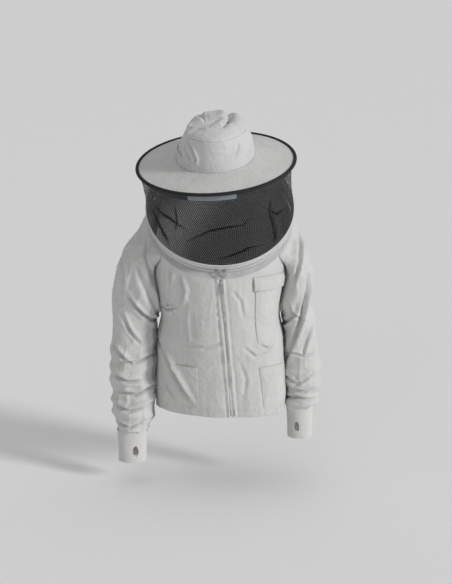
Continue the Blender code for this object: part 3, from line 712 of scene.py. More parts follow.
# ---- the wearer's form that every piece follows ---------------------------------------
@dataclass
class CollarRing:
    """Tilted circle of the ring zip; heights run along its axis."""

    radius: float = 0.200
    tilt: float = math.radians(41.5)
    drop: float = 0.0255
    setback: float = -0.005
    tape_reach: float = 0.0112
    piping_height: float = 0.0196
    veil_start: float = 0.0214

    def point(self, alpha: Grid, radius: Grid | float, height: Grid | float) -> Grid:
        """Point at an angle from the front towards the wearer's left."""
        out_y, out_z = math.cos(self.tilt), math.sin(self.tilt)
        zero = np.zeros(np.broadcast(alpha, radius, height).shape)
        x = np.sin(alpha) * radius + zero
        y = -np.cos(alpha) * out_y * radius - out_z * height + zero
        z = -np.cos(alpha) * out_z * radius + out_y * height + zero
        return np.stack([x, y, z], axis=-1)

    def neck(self, alpha: Grid) -> Grid:
        """Lower edge of the collar band."""
        return self.point(alpha, self.radius - 2 * MM, 0.0) + [0, self.setback, -self.drop]


@dataclass
class TrunkForm:
    """Surface of the jacket's trunk: alpha round it, v from hem (0) to neck (1)."""

    ring: CollarRing
    hem_z: float = -0.550
    hem_half_width: float = 0.180
    waist_half_width: float = 0.168
    chest_half_width: float = 0.164
    back_depth: float = 0.126
    zip_lean: float = 0.034
    side_seam: float = math.radians(78.0)
    armpit_v: float = 0.60
    yoke_v: float = 0.78
    yoke_sweep: float = math.radians(24.0)

    def front_line(self, z: Grid | float) -> Grid:
        """Straight centre line of the front zip."""
        top = self.ring.neck(np.zeros(1))[0]
        bottom = np.array([self.zip_lean, -0.130, self.hem_z])
        t = (np.asarray(z) - top[2]) / (bottom[2] - top[2])
        return top + (bottom - top) * np.asarray(t)[..., None]

    def sections(self) -> list[tuple[float, float, float, float, float]]:
        """Front z, back z, half width, back y and roundness, from hem to neck."""
        front, back = self.ring.neck(np.array([0.0, math.pi]))
        wide, waist, chest = self.hem_half_width, self.waist_half_width, self.chest_half_width
        deep = self.back_depth
        return [
            (self.hem_z, self.hem_z, wide, deep + 0.002, 0.85),
            (-0.455, -0.455, (wide + waist) / 2, deep, 0.85),
            (-0.365, -0.362, waist, deep - 0.002, 0.86),
            (-0.285, -0.255, chest, deep + 0.006, 0.88),
            (-0.215, -0.105, chest + 0.018, deep + 0.028, 0.94),
            (front[2], back[2], self.ring.radius - 2 * MM, back[1], 1.0),
        ]

    def point(self, alpha: Grid, v: Grid, offset: Grid | float = 0.0) -> Grid:
        """Outer surface of the trunk, moved outwards by offset."""
        alpha, v = np.broadcast_arrays(np.asarray(alpha, float), np.asarray(v, float))
        knots = []
        for front_z, back_z, half_width, back_y, roundness in self.sections():
            front = self.front_line(front_z)
            middle = np.array([0.0, (front[1] + back_y) / 2, (front_z + back_z) / 2])
            depth = np.array([0.0, front[1], front_z]) - middle
            side = signed_power(np.sin(alpha), roundness) * (half_width + offset)
            reach = signed_power(np.cos(alpha), roundness)
            reach = reach * (1.0 + offset / np.linalg.norm(depth))
            knot = middle + reach[..., None] * depth
            knot[..., 0] += side + front[0] * smooth(np.cos(alpha))
            knots.append(knot)
        return catmull(knots, v)

    def level(self, alpha: Grid, z: Grid, offset: Grid | float = 0.0) -> Grid:
        """Point of the trunk at an angle and a height in metres."""
        low, high = np.zeros_like(alpha), np.ones_like(alpha)
        for _ in range(18):
            middle = (low + high) / 2
            below = self.point(alpha, middle)[..., 2] < z
            low, high = np.where(below, middle, low), np.where(below, high, middle)
        return self.point(alpha, low, offset)

    def front_edge(self, v: Grid) -> Grid:
        """Angle of the side seam and, above it, of the raglan seam."""
        return self.side_seam - self.yoke_sweep * smooth((v - self.yoke_v) / (1 - self.yoke_v))

    def zip_angle(self, v: Grid, distance: float) -> Grid:
        """Angle at a sideways distance from the front zip."""
        values = self.sections()
        wide = catmull([np.full(v.shape, s[2]) for s in values], v)
        power = catmull([np.full(v.shape, s[4]) for s in values], v)
        return np.arcsin((distance / wide) ** (1.0 / power))


@dataclass
class SleeveForm:
    """Surface of one sleeve: phi round it from the armpit, s from armhole to cuff."""

    trunk: TrunkForm
    side: Side
    inner: tuple[tuple[float, float], ...]
    outer: tuple[tuple[float, float], ...]
    y: tuple[float, ...]
    half_depth: tuple[float, ...]

    def armhole(self, phi: Grid) -> Grid:
        """Seam line of the armhole on the trunk."""
        phi = (phi + 0.05) % 1.0
        trunk, low, high = self.trunk, self.trunk.armpit_v, 1.0
        up = low + (high - low) * np.clip((phi - 0.10) / 0.31, 0, 1)
        down = high + (low - high) * np.clip((phi - 0.69) / 0.31, 0, 1)
        seam = trunk.side_seam
        edge = trunk.front_edge(np.array(high))
        under = seam + (math.pi - 2 * seam) * np.clip(phi / 0.10, 0, 1)
        over = math.pi - edge + (2 * edge - math.pi) * np.clip((phi - 0.41) / 0.28, 0, 1)
        alpha = np.select([phi < 0.10, phi < 0.41, phi < 0.69],
                          [under, math.pi - trunk.front_edge(up), over],
                          trunk.front_edge(down))
        v = np.select([phi < 0.10, phi < 0.41, phi < 0.69], [low, up, high], down)
        return trunk.point(self.side.value * alpha, v)

    def point(self, phi: Grid, s: Grid) -> Grid:
        """Outer surface of the sleeve."""
        phi, s = np.broadcast_arrays(np.asarray(phi, float), np.asarray(s, float))
        sign, turn = self.side.value, 2 * math.pi * phi
        knots = [self.armhole(phi)]
        for inner, outer, y, deep in zip(self.inner, self.outer, self.y, self.half_depth):
            a = np.array([sign * inner[0], y, inner[1]])
            b = np.array([sign * outer[0], y, outer[1]])
            knot = (a + b) / 2 + np.cos(turn)[..., None] * (a - b) / 2
            knot[..., 1] += deep * np.sin(turn)
            knots.append(knot)
        return catmull(knots, s)


# ---- sub-assemblies -------------------------------------------------------------------
@dataclass
class Finishes:
    """The materials of the whole jacket, made once."""

    panel: Material
    hem: Material
    sleeve: Material
    pocket: Material
    plain: Material
    crown: Material
    knit: Material
    mesh: Material
    net: Material
    black_tape: Material
    veil_tape: Material
    front_band: Material
    collar: Material
    zip_tape: Material
    coil: Material
    metal: Material

    @classmethod
    def make(cls) -> "Finishes":
        """Build every material."""
        return cls(
            panel=CottonTwill("cotton_twill_panels", rows=(2.0 * MM, 7.0 * MM)).material(),
            hem=CottonTwill("cotton_twill_hem", rows=(6.0 * MM,), on_sides=False,
                            on_ends=True).material(),
            sleeve=CottonTwill("cotton_twill_sleeves", rows=(2.0 * MM,)).material(),
            pocket=CottonTwill("cotton_twill_pockets", rows=(1.6 * MM, 8.0 * MM),
                               on_ends=True, pucker=0.4).material(),
            plain=CottonTwill("cotton_twill_plain", on_sides=False).material(),
            crown=CottonTwill("cotton_twill_crown", on_sides=False, light="D8D8D8",
                              shade="C4C4C4").material(),
            knit=KnitRib().material(),
            mesh=SpacerMesh().material(),
            net=VeilNet().material(),
            black_tape=WovenTape("black_polyester_tape", "2A2A2C", "121213").material(),
            veil_tape=WovenTape("grey_polyester_tape", "4A4B4E", "232426").material(),
            front_band=WovenTape("blue_grey_polyester_tape", "9AA3AC", "77818C").material(),
            # Darker copy of the twill for the collar band: painted shade, as the band faces down
            # into the shadow under the ring.
            collar=CottonTwill("cotton_twill_collar", on_sides=False, light="C4C4C4",
                               shade="B2B2B2").material(),
            zip_tape=WovenTape("white_polyester_zip_tape", "E6E6E6", "CFCFCF").material(),
            coil=WovenTape("white_nylon_coil", "E2E2E0", "C4C4C2", 2.0 * MM, 0.45).material(),
            metal=PlatedMetal().material(),
        )


def finish_piece(obj: Object, material: Material, slot: str, body: str,
                 *nodes: str) -> Object:
    """Give a piece its material, body and the CAD nodes that it stands for."""
    obj.data.materials.clear()
    obj.data.materials.append(material)
    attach(obj, body)
    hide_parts(*nodes)
    LOG.info("%s: %d faces on %s", obj.name, len(obj.data.polygons), body)
    return obj


@dataclass
class Trunk:
    """Front panels, back panel, side vents, hem and zip placket of the jacket."""

    form: TrunkForm
    looks: Finishes
    bottom_v: float = 0.046
    top_v: float = 0.9995
    zip_half_width: float = 0.0016
    hem_half_gap: float = 0.0056
    ridge_place: float = 0.0085
    ridge_width: float = 0.0022
    ridge_rise: float = 0.0034
    seam_dip: float = 0.0014
    side_blouse: float = 0.0075
    folds: Folds = field(default_factory=lambda: Folds(creases=(
        Crease(((-.173, -.348), (-.149, -.385), (-.131, -.424), (-.101, -.481), (-.077, -.521)),
               0.0075, 0.0075),
        Crease(((-.161, -.220), (-.140, -.242), (-.118, -.270)), 0.005, 0.005),
        Crease(((-.167, -.253), (-.145, -.259), (-.113, -.242)), 0.005, 0.005),
        Crease(((-.118, -.253), (-.116, -.317)), 0.006, 0.0022, 0.5),
        Crease(((-.091, -.220), (-.097, -.289), (-.089, -.345)), 0.007, 0.0026, 0.5),
        Crease(((-.149, -.089), (-.133, -.151), (-.139, -.209)), 0.006, 0.005),
        Crease(((-.117, -.132), (-.099, -.193), (-.107, -.237)), 0.007, 0.004),
        Crease(((-.103, -.345), (-.041, -.351), (.005, -.334)), 0.008, 0.003),
        Crease(((.062, -.348), (.097, -.379), (.149, -.365)), 0.007, 0.0026, 0.6),
        Crease(((.054, -.388), (.070, -.444), (.062, -.501)), 0.008, 0.0018, 0.5),
        Crease(((.032, -.187), (.054, -.220), (.064, -.270)), 0.007, 0.0018, 0.5),
        Crease(((.105, -.345), (.130, -.357), (.151, -.348)), 0.005, 0.004),
        Crease(((-.163, -.444), (-.137, -.487), (-.115, -.516)), 0.006, 0.004),
    ), swell=0.0030, crumple=0.0010, seed=21))

    def seam_fade(self, a: Grid, b: Grid, points: Grid) -> Grid:
        """Folds die out at the collar."""
        return smooth((self.top_v - b) / 0.10)

    def placket(self, a: Grid, b: Grid, u: Grid, points: Grid) -> Grid:
        """Two puckered ridges beside the zip, and the dip of the side seams."""
        gap = np.abs(points[..., 0] - self.form.front_line(points[..., 2])[..., 0])
        wander = 0.0012 * noise(points, (0.2, 0.2, 0.030), 79)
        across = np.exp(-((gap - self.ridge_place - wander) / self.ridge_width) ** 2)
        beat = 0.75 + 0.50 * noise(points, (0.05, 0.05, 0.012), 77)
        beside = np.exp(-((gap - self.ridge_place - 3.2 * self.ridge_width)
                          / (1.6 * self.ridge_width)) ** 2)
        seam = self.form.front_edge(b) - np.abs(a)
        dip = -self.seam_dip * np.exp(-(seam * self.form.chest_half_width / 0.0035) ** 2)
        ahead = points[..., 1] < 0.0
        return ahead * (self.ridge_rise * across * beat - 0.0012 * beside) + dip

    def zip_edge(self, b: Grid) -> Grid:
        """Angle of the front panel's edge beside the zip."""
        return self.form.zip_angle(b, self.zip_half_width)

    def gather(self, a: Grid, b: Grid, points: Grid) -> Grid:
        """Upright tucks drawn in by the hem elastic, fading upwards."""
        strength = 0.0012 * np.exp(-b / 0.10)
        wave = noise(np.stack([a * 0.17, 0 * a, b * 0.08], -1), (0.011, 0.02, 0.09), 31)
        return strength * wave

    def panel(self, name: str, low: Callable[[Grid], Grid], high: Callable[[Grid], Grid],
              bottom: float, top: float, columns: int, rows: int) -> Cloth:
        """Cloth piece of the trunk between two angles and two heights."""
        def shape(a: Grid, b: Grid, u: Grid, points: Grid) -> Grid:
            blouse = self.side_blouse * np.abs(np.sin(a)) ** 3 * smooth(b / 0.12)
            blouse = blouse * smooth((self.form.armpit_v - b) / 0.15)
            return self.placket(a, b, u, points) + self.gather(a, b, points) + blouse
        return Cloth(name, self.form.point, low, high, bottom, top, columns, rows,
                     folds=self.folds, fade=self.seam_fade, shape=shape)

    def build(self) -> None:
        form, looks, pi = self.form, self.looks, math.pi
        for side in Side:
            low, high = (self.zip_edge, form.front_edge) if side is Side.LEFT else (
                lambda b: -form.front_edge(b), lambda b: -self.zip_edge(b))
            front = self.panel(f"front_panel_{side.label}_cloth", low, high, self.bottom_v,
                               self.top_v, 120, 300)
            front.dress(looks.panel, "cotton_twill", "jacket", f"front_panel_{side.label}",
                        "hung", "collar_band")
            seam = form.side_seam
            start, end = (seam, pi - seam) if side is Side.LEFT else (seam - pi, -seam)
            vent = self.panel(f"side_vent_{side.label}_mesh", steady(start), steady(end),
                              self.bottom_v, form.armpit_v + 0.012, 30, 200)
            vent.dress(looks.mesh, "ventilated_mesh", "jacket", f"side_vent_{side.label}",
                       "hung", "collar_band")
        back = self.panel("back_panel_cloth", lambda b: pi - form.front_edge(b),
                          lambda b: pi + form.front_edge(b), self.bottom_v, self.top_v, 240, 300)
        back.dress(looks.panel, "cotton_twill", "jacket", "back_panel", "hung", "collar_band")
        hem = self.panel("hem_band_cloth", lambda b: form.zip_angle(b, self.hem_half_gap),
                         lambda b: 2 * pi - form.zip_angle(b, self.hem_half_gap),
                         0.0, self.bottom_v, 560, 14)
        hem.wall = 2.4 * MM
        hem.dress(looks.hem, "cotton_twill", "jacket", "hem_band", "gathered",
                  "front_panel_left", "front_panel_right", "back_panel")


@dataclass
class Sleeve:
    """One raglan sleeve with its under-arm mesh gusset."""

    form: SleeveForm
    looks: Finishes
    folds: Folds
    vent_half: float = 0.075
    inner_slack: float = 0.0065

    def fade(self, a: Grid, b: Grid, points: Grid) -> Grid:
        """Folds grow from the armhole seam and stay to the cuff seam."""
        return smooth(b / 0.06) * (0.25 + 0.75 * smooth((1.0 - b) / 0.03))

    def puff(self, a: Grid, b: Grid, u: Grid, points: Grid) -> Grid:
        """Seam dip at the armhole and small gathers into the cuff."""
        dip = -0.0012 * np.exp(-(b / 0.012) ** 2)
        ring = np.stack([np.cos(2 * math.pi * a), np.sin(2 * math.pi * a), b], -1)
        tucks = noise(ring, (0.22, 0.22, 0.05), 41) * 0.0030 * np.exp(-(1.0 - b) / 0.035)
        inner = self.inner_slack * np.clip(np.cos(2 * math.pi * a), 0.0, 1.0)
        inner = inner * smooth((b - 0.03) / 0.12) * smooth((0.92 - b) / 0.15)
        return dip + tucks + inner

    def build(self) -> None:
        label, sign, half = self.form.side.label, self.form.side.value, self.vent_half
        sleeve = Cloth(f"sleeve_{label}_cloth", self.form.point, steady(half),
                       steady(1.0 - half), 0.0, 1.0, 220, 330, outward=sign,
                       folds=self.folds, fade=self.fade, shape=self.puff)
        sleeve.dress(self.looks.sleeve, "cotton_twill", "jacket", f"sleeve_{label}", "hung",
                     f"front_panel_{label}", "back_panel", "collar_band")
        vent = Cloth(f"sleeve_vent_{label}_mesh", self.form.point, steady(-half), steady(half),
                     0.0, 1.0, 36, 330, outward=sign, folds=self.folds, fade=self.fade,
                     shape=self.puff)
        vent.dress(self.looks.mesh, "ventilated_mesh", "jacket", f"sleeve_vent_{label}",
                   "hung", f"sleeve_{label}")


@dataclass
class Cuff:
    """Ribbed knit cuff with a slit for the thumb."""

    side: Side
    looks: Finishes
    centre: tuple[float, float]
    half_width: float
    top_z: float
    half_depth: float = 0.034
    length: float = 0.082
    lean: float = -0.014
    wall: float = 2.2 * MM
    tuck: float = 0.005
    front_reach: float = 0.02
    round_reach: float = 1.6
    thumb_aim: float = 0.35
    thumb_place: float = 0.62
    taper: float = 0.06
    seam_gap: float = 0.001
    thumb: tuple[float, float] = (0.016, 0.030)
    ribs: int = 84

    def point(self, a: Grid, t: Grid) -> Grid:
        """Surface of the cuff: a round it in turns, t from top to bottom."""
        taper = 1.0 - self.taper * t
        turn = 2 * math.pi * a
        x = self.side.value * self.centre[0] + self.half_width * taper * np.cos(turn)
        y = self.centre[1] + self.lean * t + self.half_depth * taper * np.sin(turn)
        tuck = self.tuck * np.clip(1.0 - t / 0.10, 0.0, 1.0)
        z = self.top_z - self.seam_gap + tuck - self.length * t + 0 * turn
        return np.stack([x, y, z], -1)

    def ribbed(self, a: Grid, b: Grid, u: Grid, points: Grid) -> Grid:
        """Knit ribs, soft slack and a rounded hem."""
        ribs = 0.00035 * np.cos(2 * math.pi * self.ribs * a)
        ring = np.stack([np.cos(2 * math.pi * a) * 0.04, np.sin(2 * math.pi * a) * 0.04,
                         points[..., 2]], -1)
        slack = 0.0014 * noise(ring, (0.025, 0.025, 0.035), 51)
        flare = 0.0020 * np.exp(-b / 0.08)
        return ribs + slack + flare

    def cut_thumb(self, obj: Object) -> None:
        """Open the thumb slit and round its edge to an oval."""
        aim = math.atan2(-1.0 / self.half_depth,
                         -self.side.value * self.thumb_aim / self.half_width)
        place = np.array([aim / (2 * math.pi)]), np.array([self.thumb_place])
        centre = Vector(self.point(*place)[0])
        ahead = Vector(self.point(place[0] + 0.01, place[1])[0])
        across = (ahead - centre).normalized()
        half = (self.thumb[0] / 2, self.thumb[1] / 2)

        def local(point: Vector) -> tuple[float, float]:
            gap = point - centre
            return gap.dot(across) / half[0], gap.z / half[1]

        near = centre.y + self.front_reach
        mesh = bmesh.new()
        mesh.from_mesh(obj.data)
        inside = [face for face in mesh.faces
                  if math.hypot(*local(face.calc_center_median())) < 1.0
                  and face.calc_center_median().y < near]
        bmesh.ops.delete(mesh, geom=inside, context="FACES")
        for vert in mesh.verts:
            x, z = local(vert.co)
            reach = math.hypot(x, z)
            if vert.is_boundary and reach < self.round_reach and vert.co.y < near:
                vert.co += across * (x / reach - x) * half[0]
                vert.co.z += (z / reach - z) * half[1]
        mesh.to_mesh(obj.data)
        mesh.free()

    def build(self) -> None:
        """Build the knit tube, cut the thumb slit and dress it."""
        label = self.side.label
        cuff = Cloth(f"cuff_{label}_knit", self.point, steady(0.0), steady(1.0), 0.0, 1.0,
                     self.ribs * 5, 60, outward=-1.0, closed=True, wall=0.0,
                     shape=self.ribbed)
        obj = cuff.build()
        self.cut_thumb(obj)
        thicken(obj, self.wall)
        finish_piece(obj, self.looks.knit, "knit_rib", "jacket", f"cuff_{label}")
        cuff.declare()


@dataclass
class Pocket:
    """Patch pocket laid on the trunk between two angles and two heights."""

    name: str
    node: str
    form: TrunkForm
    looks: Finishes
    start: float
    end: float
    bottom_z: float
    top_z: float
    folds: Folds
    bulge: float = 0.0085
    lift: float = 0.0015

    def surface(self, a: Grid, b: Grid) -> Grid:
        """Trunk surface by angle and height."""
        return self.form.level(a, b)

    def puff(self, a: Grid, b: Grid, u: Grid, points: Grid) -> Grid:
        """Slack of the pocket, largest at its open top."""
        v = (b - self.bottom_z) / (self.top_z - self.bottom_z)
        swell = np.sin(math.pi * np.clip(u, 0, 1)) ** 0.7 * smooth(1.6 * v)
        rim = 0.0008 * np.exp(-((v - 1.0) / 0.04) ** 2)
        pucker = 0.0006 * noise(points, (0.012, 0.012, 0.012), 61)
        return self.lift + self.bulge * swell * (0.5 + 0.2 * noise(points, (0.04,) * 3, 63)) \
            + rim + pucker

    def build(self) -> None:
        cloth = Cloth(self.name, self.surface, steady(self.start), steady(self.end),
                      self.bottom_z, self.top_z, 110, 120, folds=self.folds, shape=self.puff,
                      wall=1.2 * MM)
        cloth.dress(self.looks.pocket, "cotton_twill", "jacket", self.node, "hung",
                    "front_panel_left", "front_panel_right")


@dataclass
class Flap:
    """Flap over the chest pocket, hinged along its top edge."""

    form: TrunkForm
    looks: Finishes
    folds: Folds
    start: float = math.radians(26.5)
    end: float = math.radians(69.5)
    bottom_z: float = -0.193
    top_z: float = -0.156
    lift: float = 0.0028
    rise: float = 0.0070

    def shape(self, a: Grid, b: Grid, u: Grid, points: Grid) -> Grid:
        """Lie over the pocket: close at the top seam, proud at the free edge."""
        down = (self.top_z - b) / (self.top_z - self.bottom_z)
        swell = np.sin(math.pi * np.clip(u, 0, 1)) ** 0.5
        return self.lift + self.rise * smooth(2.2 * down) * (0.35 + 0.65 * swell)

    def build(self) -> None:
        cloth = Cloth("chest_flap_cloth", lambda a, b: self.form.level(a, b),
                      steady(self.start), steady(self.end), self.bottom_z, self.top_z, 90, 40,
                      folds=self.folds, shape=self.shape, wall=1.4 * MM)
        cloth.dress(self.looks.pocket, "cotton_twill", "chest_flap", "chest_flap", "hung",
                    "front_panel_left")


@dataclass
class RingZip:
    """Collar band and the two halves of the ring zip that joins the veil."""

    ring: CollarRing
    looks: Finishes
    segments: int = 480
    coil_pitch: float = 2.6 * MM
    coil_height: float = 2.0 * MM
    coil_size: tuple[float, float] = (1.2 * MM, 1.3 * MM)
    coil_notch: float = 0.4
    tape_start: float = 3.3 * MM
    lower_reach: float = 11.6 * MM
    tape_wall: float = 0.9 * MM
    piping_seat: float = 200.8 * MM
    piping_size: float = 2.6 * MM
    hem_tape_drop: float = 1.6 * MM

    def band(self, name: str, node: str, low: float, high: float, rows: int, wall: float,
             material: Material, slot: str, body: str, lift: float = 0.0) -> None:
        """Closed band round the ring between two heights on its axis."""
        radius = self.ring.radius
        cloth = Cloth(name, lambda a, h: self.ring.point(a, radius + lift, h), steady(-math.pi),
                      steady(math.pi), low, high, self.segments, rows, closed=True, wall=wall)
        cloth.dress(material, slot, body, node, "stretched", "collar_band")

    def tube(self, name: str, node: str, radius: float, height: float, thick: float, tall: float,
             teeth: int, depth: float, material: Material, slot: str, body: str) -> None:
        """Round bead along the ring, notched into teeth where teeth is above zero."""
        count = max(self.segments, 4 * teeth)
        alpha = np.linspace(0, 2 * math.pi, count, endpoint=False)[:, None]
        turn = np.linspace(0, 2 * math.pi, 12, endpoint=False)[None, :]
        notch = 1.0 - depth * (np.cos(teeth * alpha) < 0) if teeth else 1.0
        points = self.ring.point(alpha + 0 * turn, radius + thick * np.cos(turn) * notch,
                                 height + tall * np.sin(turn) * notch)
        obj = closed_tube(name, points)
        finish_piece(obj, material, slot, body, node)

    def build(self) -> None:
        ring, looks = self.ring, self.looks

        def collar(a: Grid, b: Grid) -> Grid:
            low, high = ring.neck(a), ring.point(a, ring.radius, -ring.tape_reach - 0.0006)
            return low + (high - low) * b[..., None]

        folds = Folds(pitch=(0.035, 0.035, 0.030), swell=0.0012, crumple=0.0016, seed=91)
        cloth = Cloth("collar_band_cloth", collar, steady(-math.pi), steady(math.pi), 0.0, 1.0,
                      self.segments, 24, closed=True, wall=1.6 * MM, folds=folds,
                      fade=lambda a, b, p: np.sin(math.pi * b) ** 0.6)
        # The collar band's darker twill is painted shade.
        cloth.dress(looks.collar, "cotton_twill", "jacket", "collar_band", "stretched",
                    "front_panel_left", "front_panel_right", "back_panel")
        teeth = int(2 * math.pi * ring.radius / self.coil_pitch)
        halves = (("lower", "jacket", -self.lower_reach, -self.tape_start, -self.coil_height),
                  ("upper", "hood", self.tape_start, ring.tape_reach, self.coil_height))
        for half, body, low, high, _ in halves:
            self.band(f"ring_tape_{half}_woven", f"ring_tape_{half}", low, high, 4,
                      self.tape_wall, looks.zip_tape, "zip_tape", body)
        for half, body, _, _, height in halves:
            self.tube(f"ring_coil_{half}_teeth", f"ring_coil_{half}", ring.radius, height,
                      *self.coil_size, teeth, self.coil_notch, looks.coil, "nylon_coil", body)
        self.band("veil_hem_tape_woven", "veil_hem_tape", ring.tape_reach,
                  ring.piping_height - self.hem_tape_drop, 6, 1.2 * MM, looks.plain,
                  "cotton_twill", "hood", lift=0.6 * MM)
        self.tube("veil_piping_cord", "veil_piping", self.piping_seat, ring.piping_height,
                  self.piping_size, self.piping_size, 0, 0.0, looks.plain, "cotton_twill",
                  "hood")


def closed_tube(name: str, points: Grid) -> Object:
    """Ring-shaped tube from a grid of points closed both ways, with metre UVs."""
    count, around = points.shape[:2]
    index = np.arange(count * around).reshape(count, around)
    wrap = np.pad(index, ((0, 1), (0, 1)), mode="wrap")
    quads = np.stack([wrap[:-1, :-1], wrap[1:, :-1], wrap[1:, 1:], wrap[:-1, 1:]], -1)
    mesh = bpy.data.meshes.new(name)
    mesh.from_pydata(points.reshape(-1, 3).tolist(), [], quads.reshape(-1, 4).tolist())
    run = np.linalg.norm(np.diff(points[:, 0], axis=0, append=points[:1, 0]), axis=-1)
    length = np.concatenate([[0.0], np.cumsum(run)])
    girth = np.linspace(0, 0.01, around + 1)
    grid = np.stack(np.meshgrid(length, girth, indexing="ij"), -1)
    corners = np.stack([grid[:-1, :-1], grid[1:, :-1], grid[1:, 1:], grid[:-1, 1:]], 2)
    layer = mesh.uv_layers.new(name="cloth")
    layer.data.foreach_set("uv", corners.reshape(-1).astype(np.float32))
    return smooth_object(name, mesh)


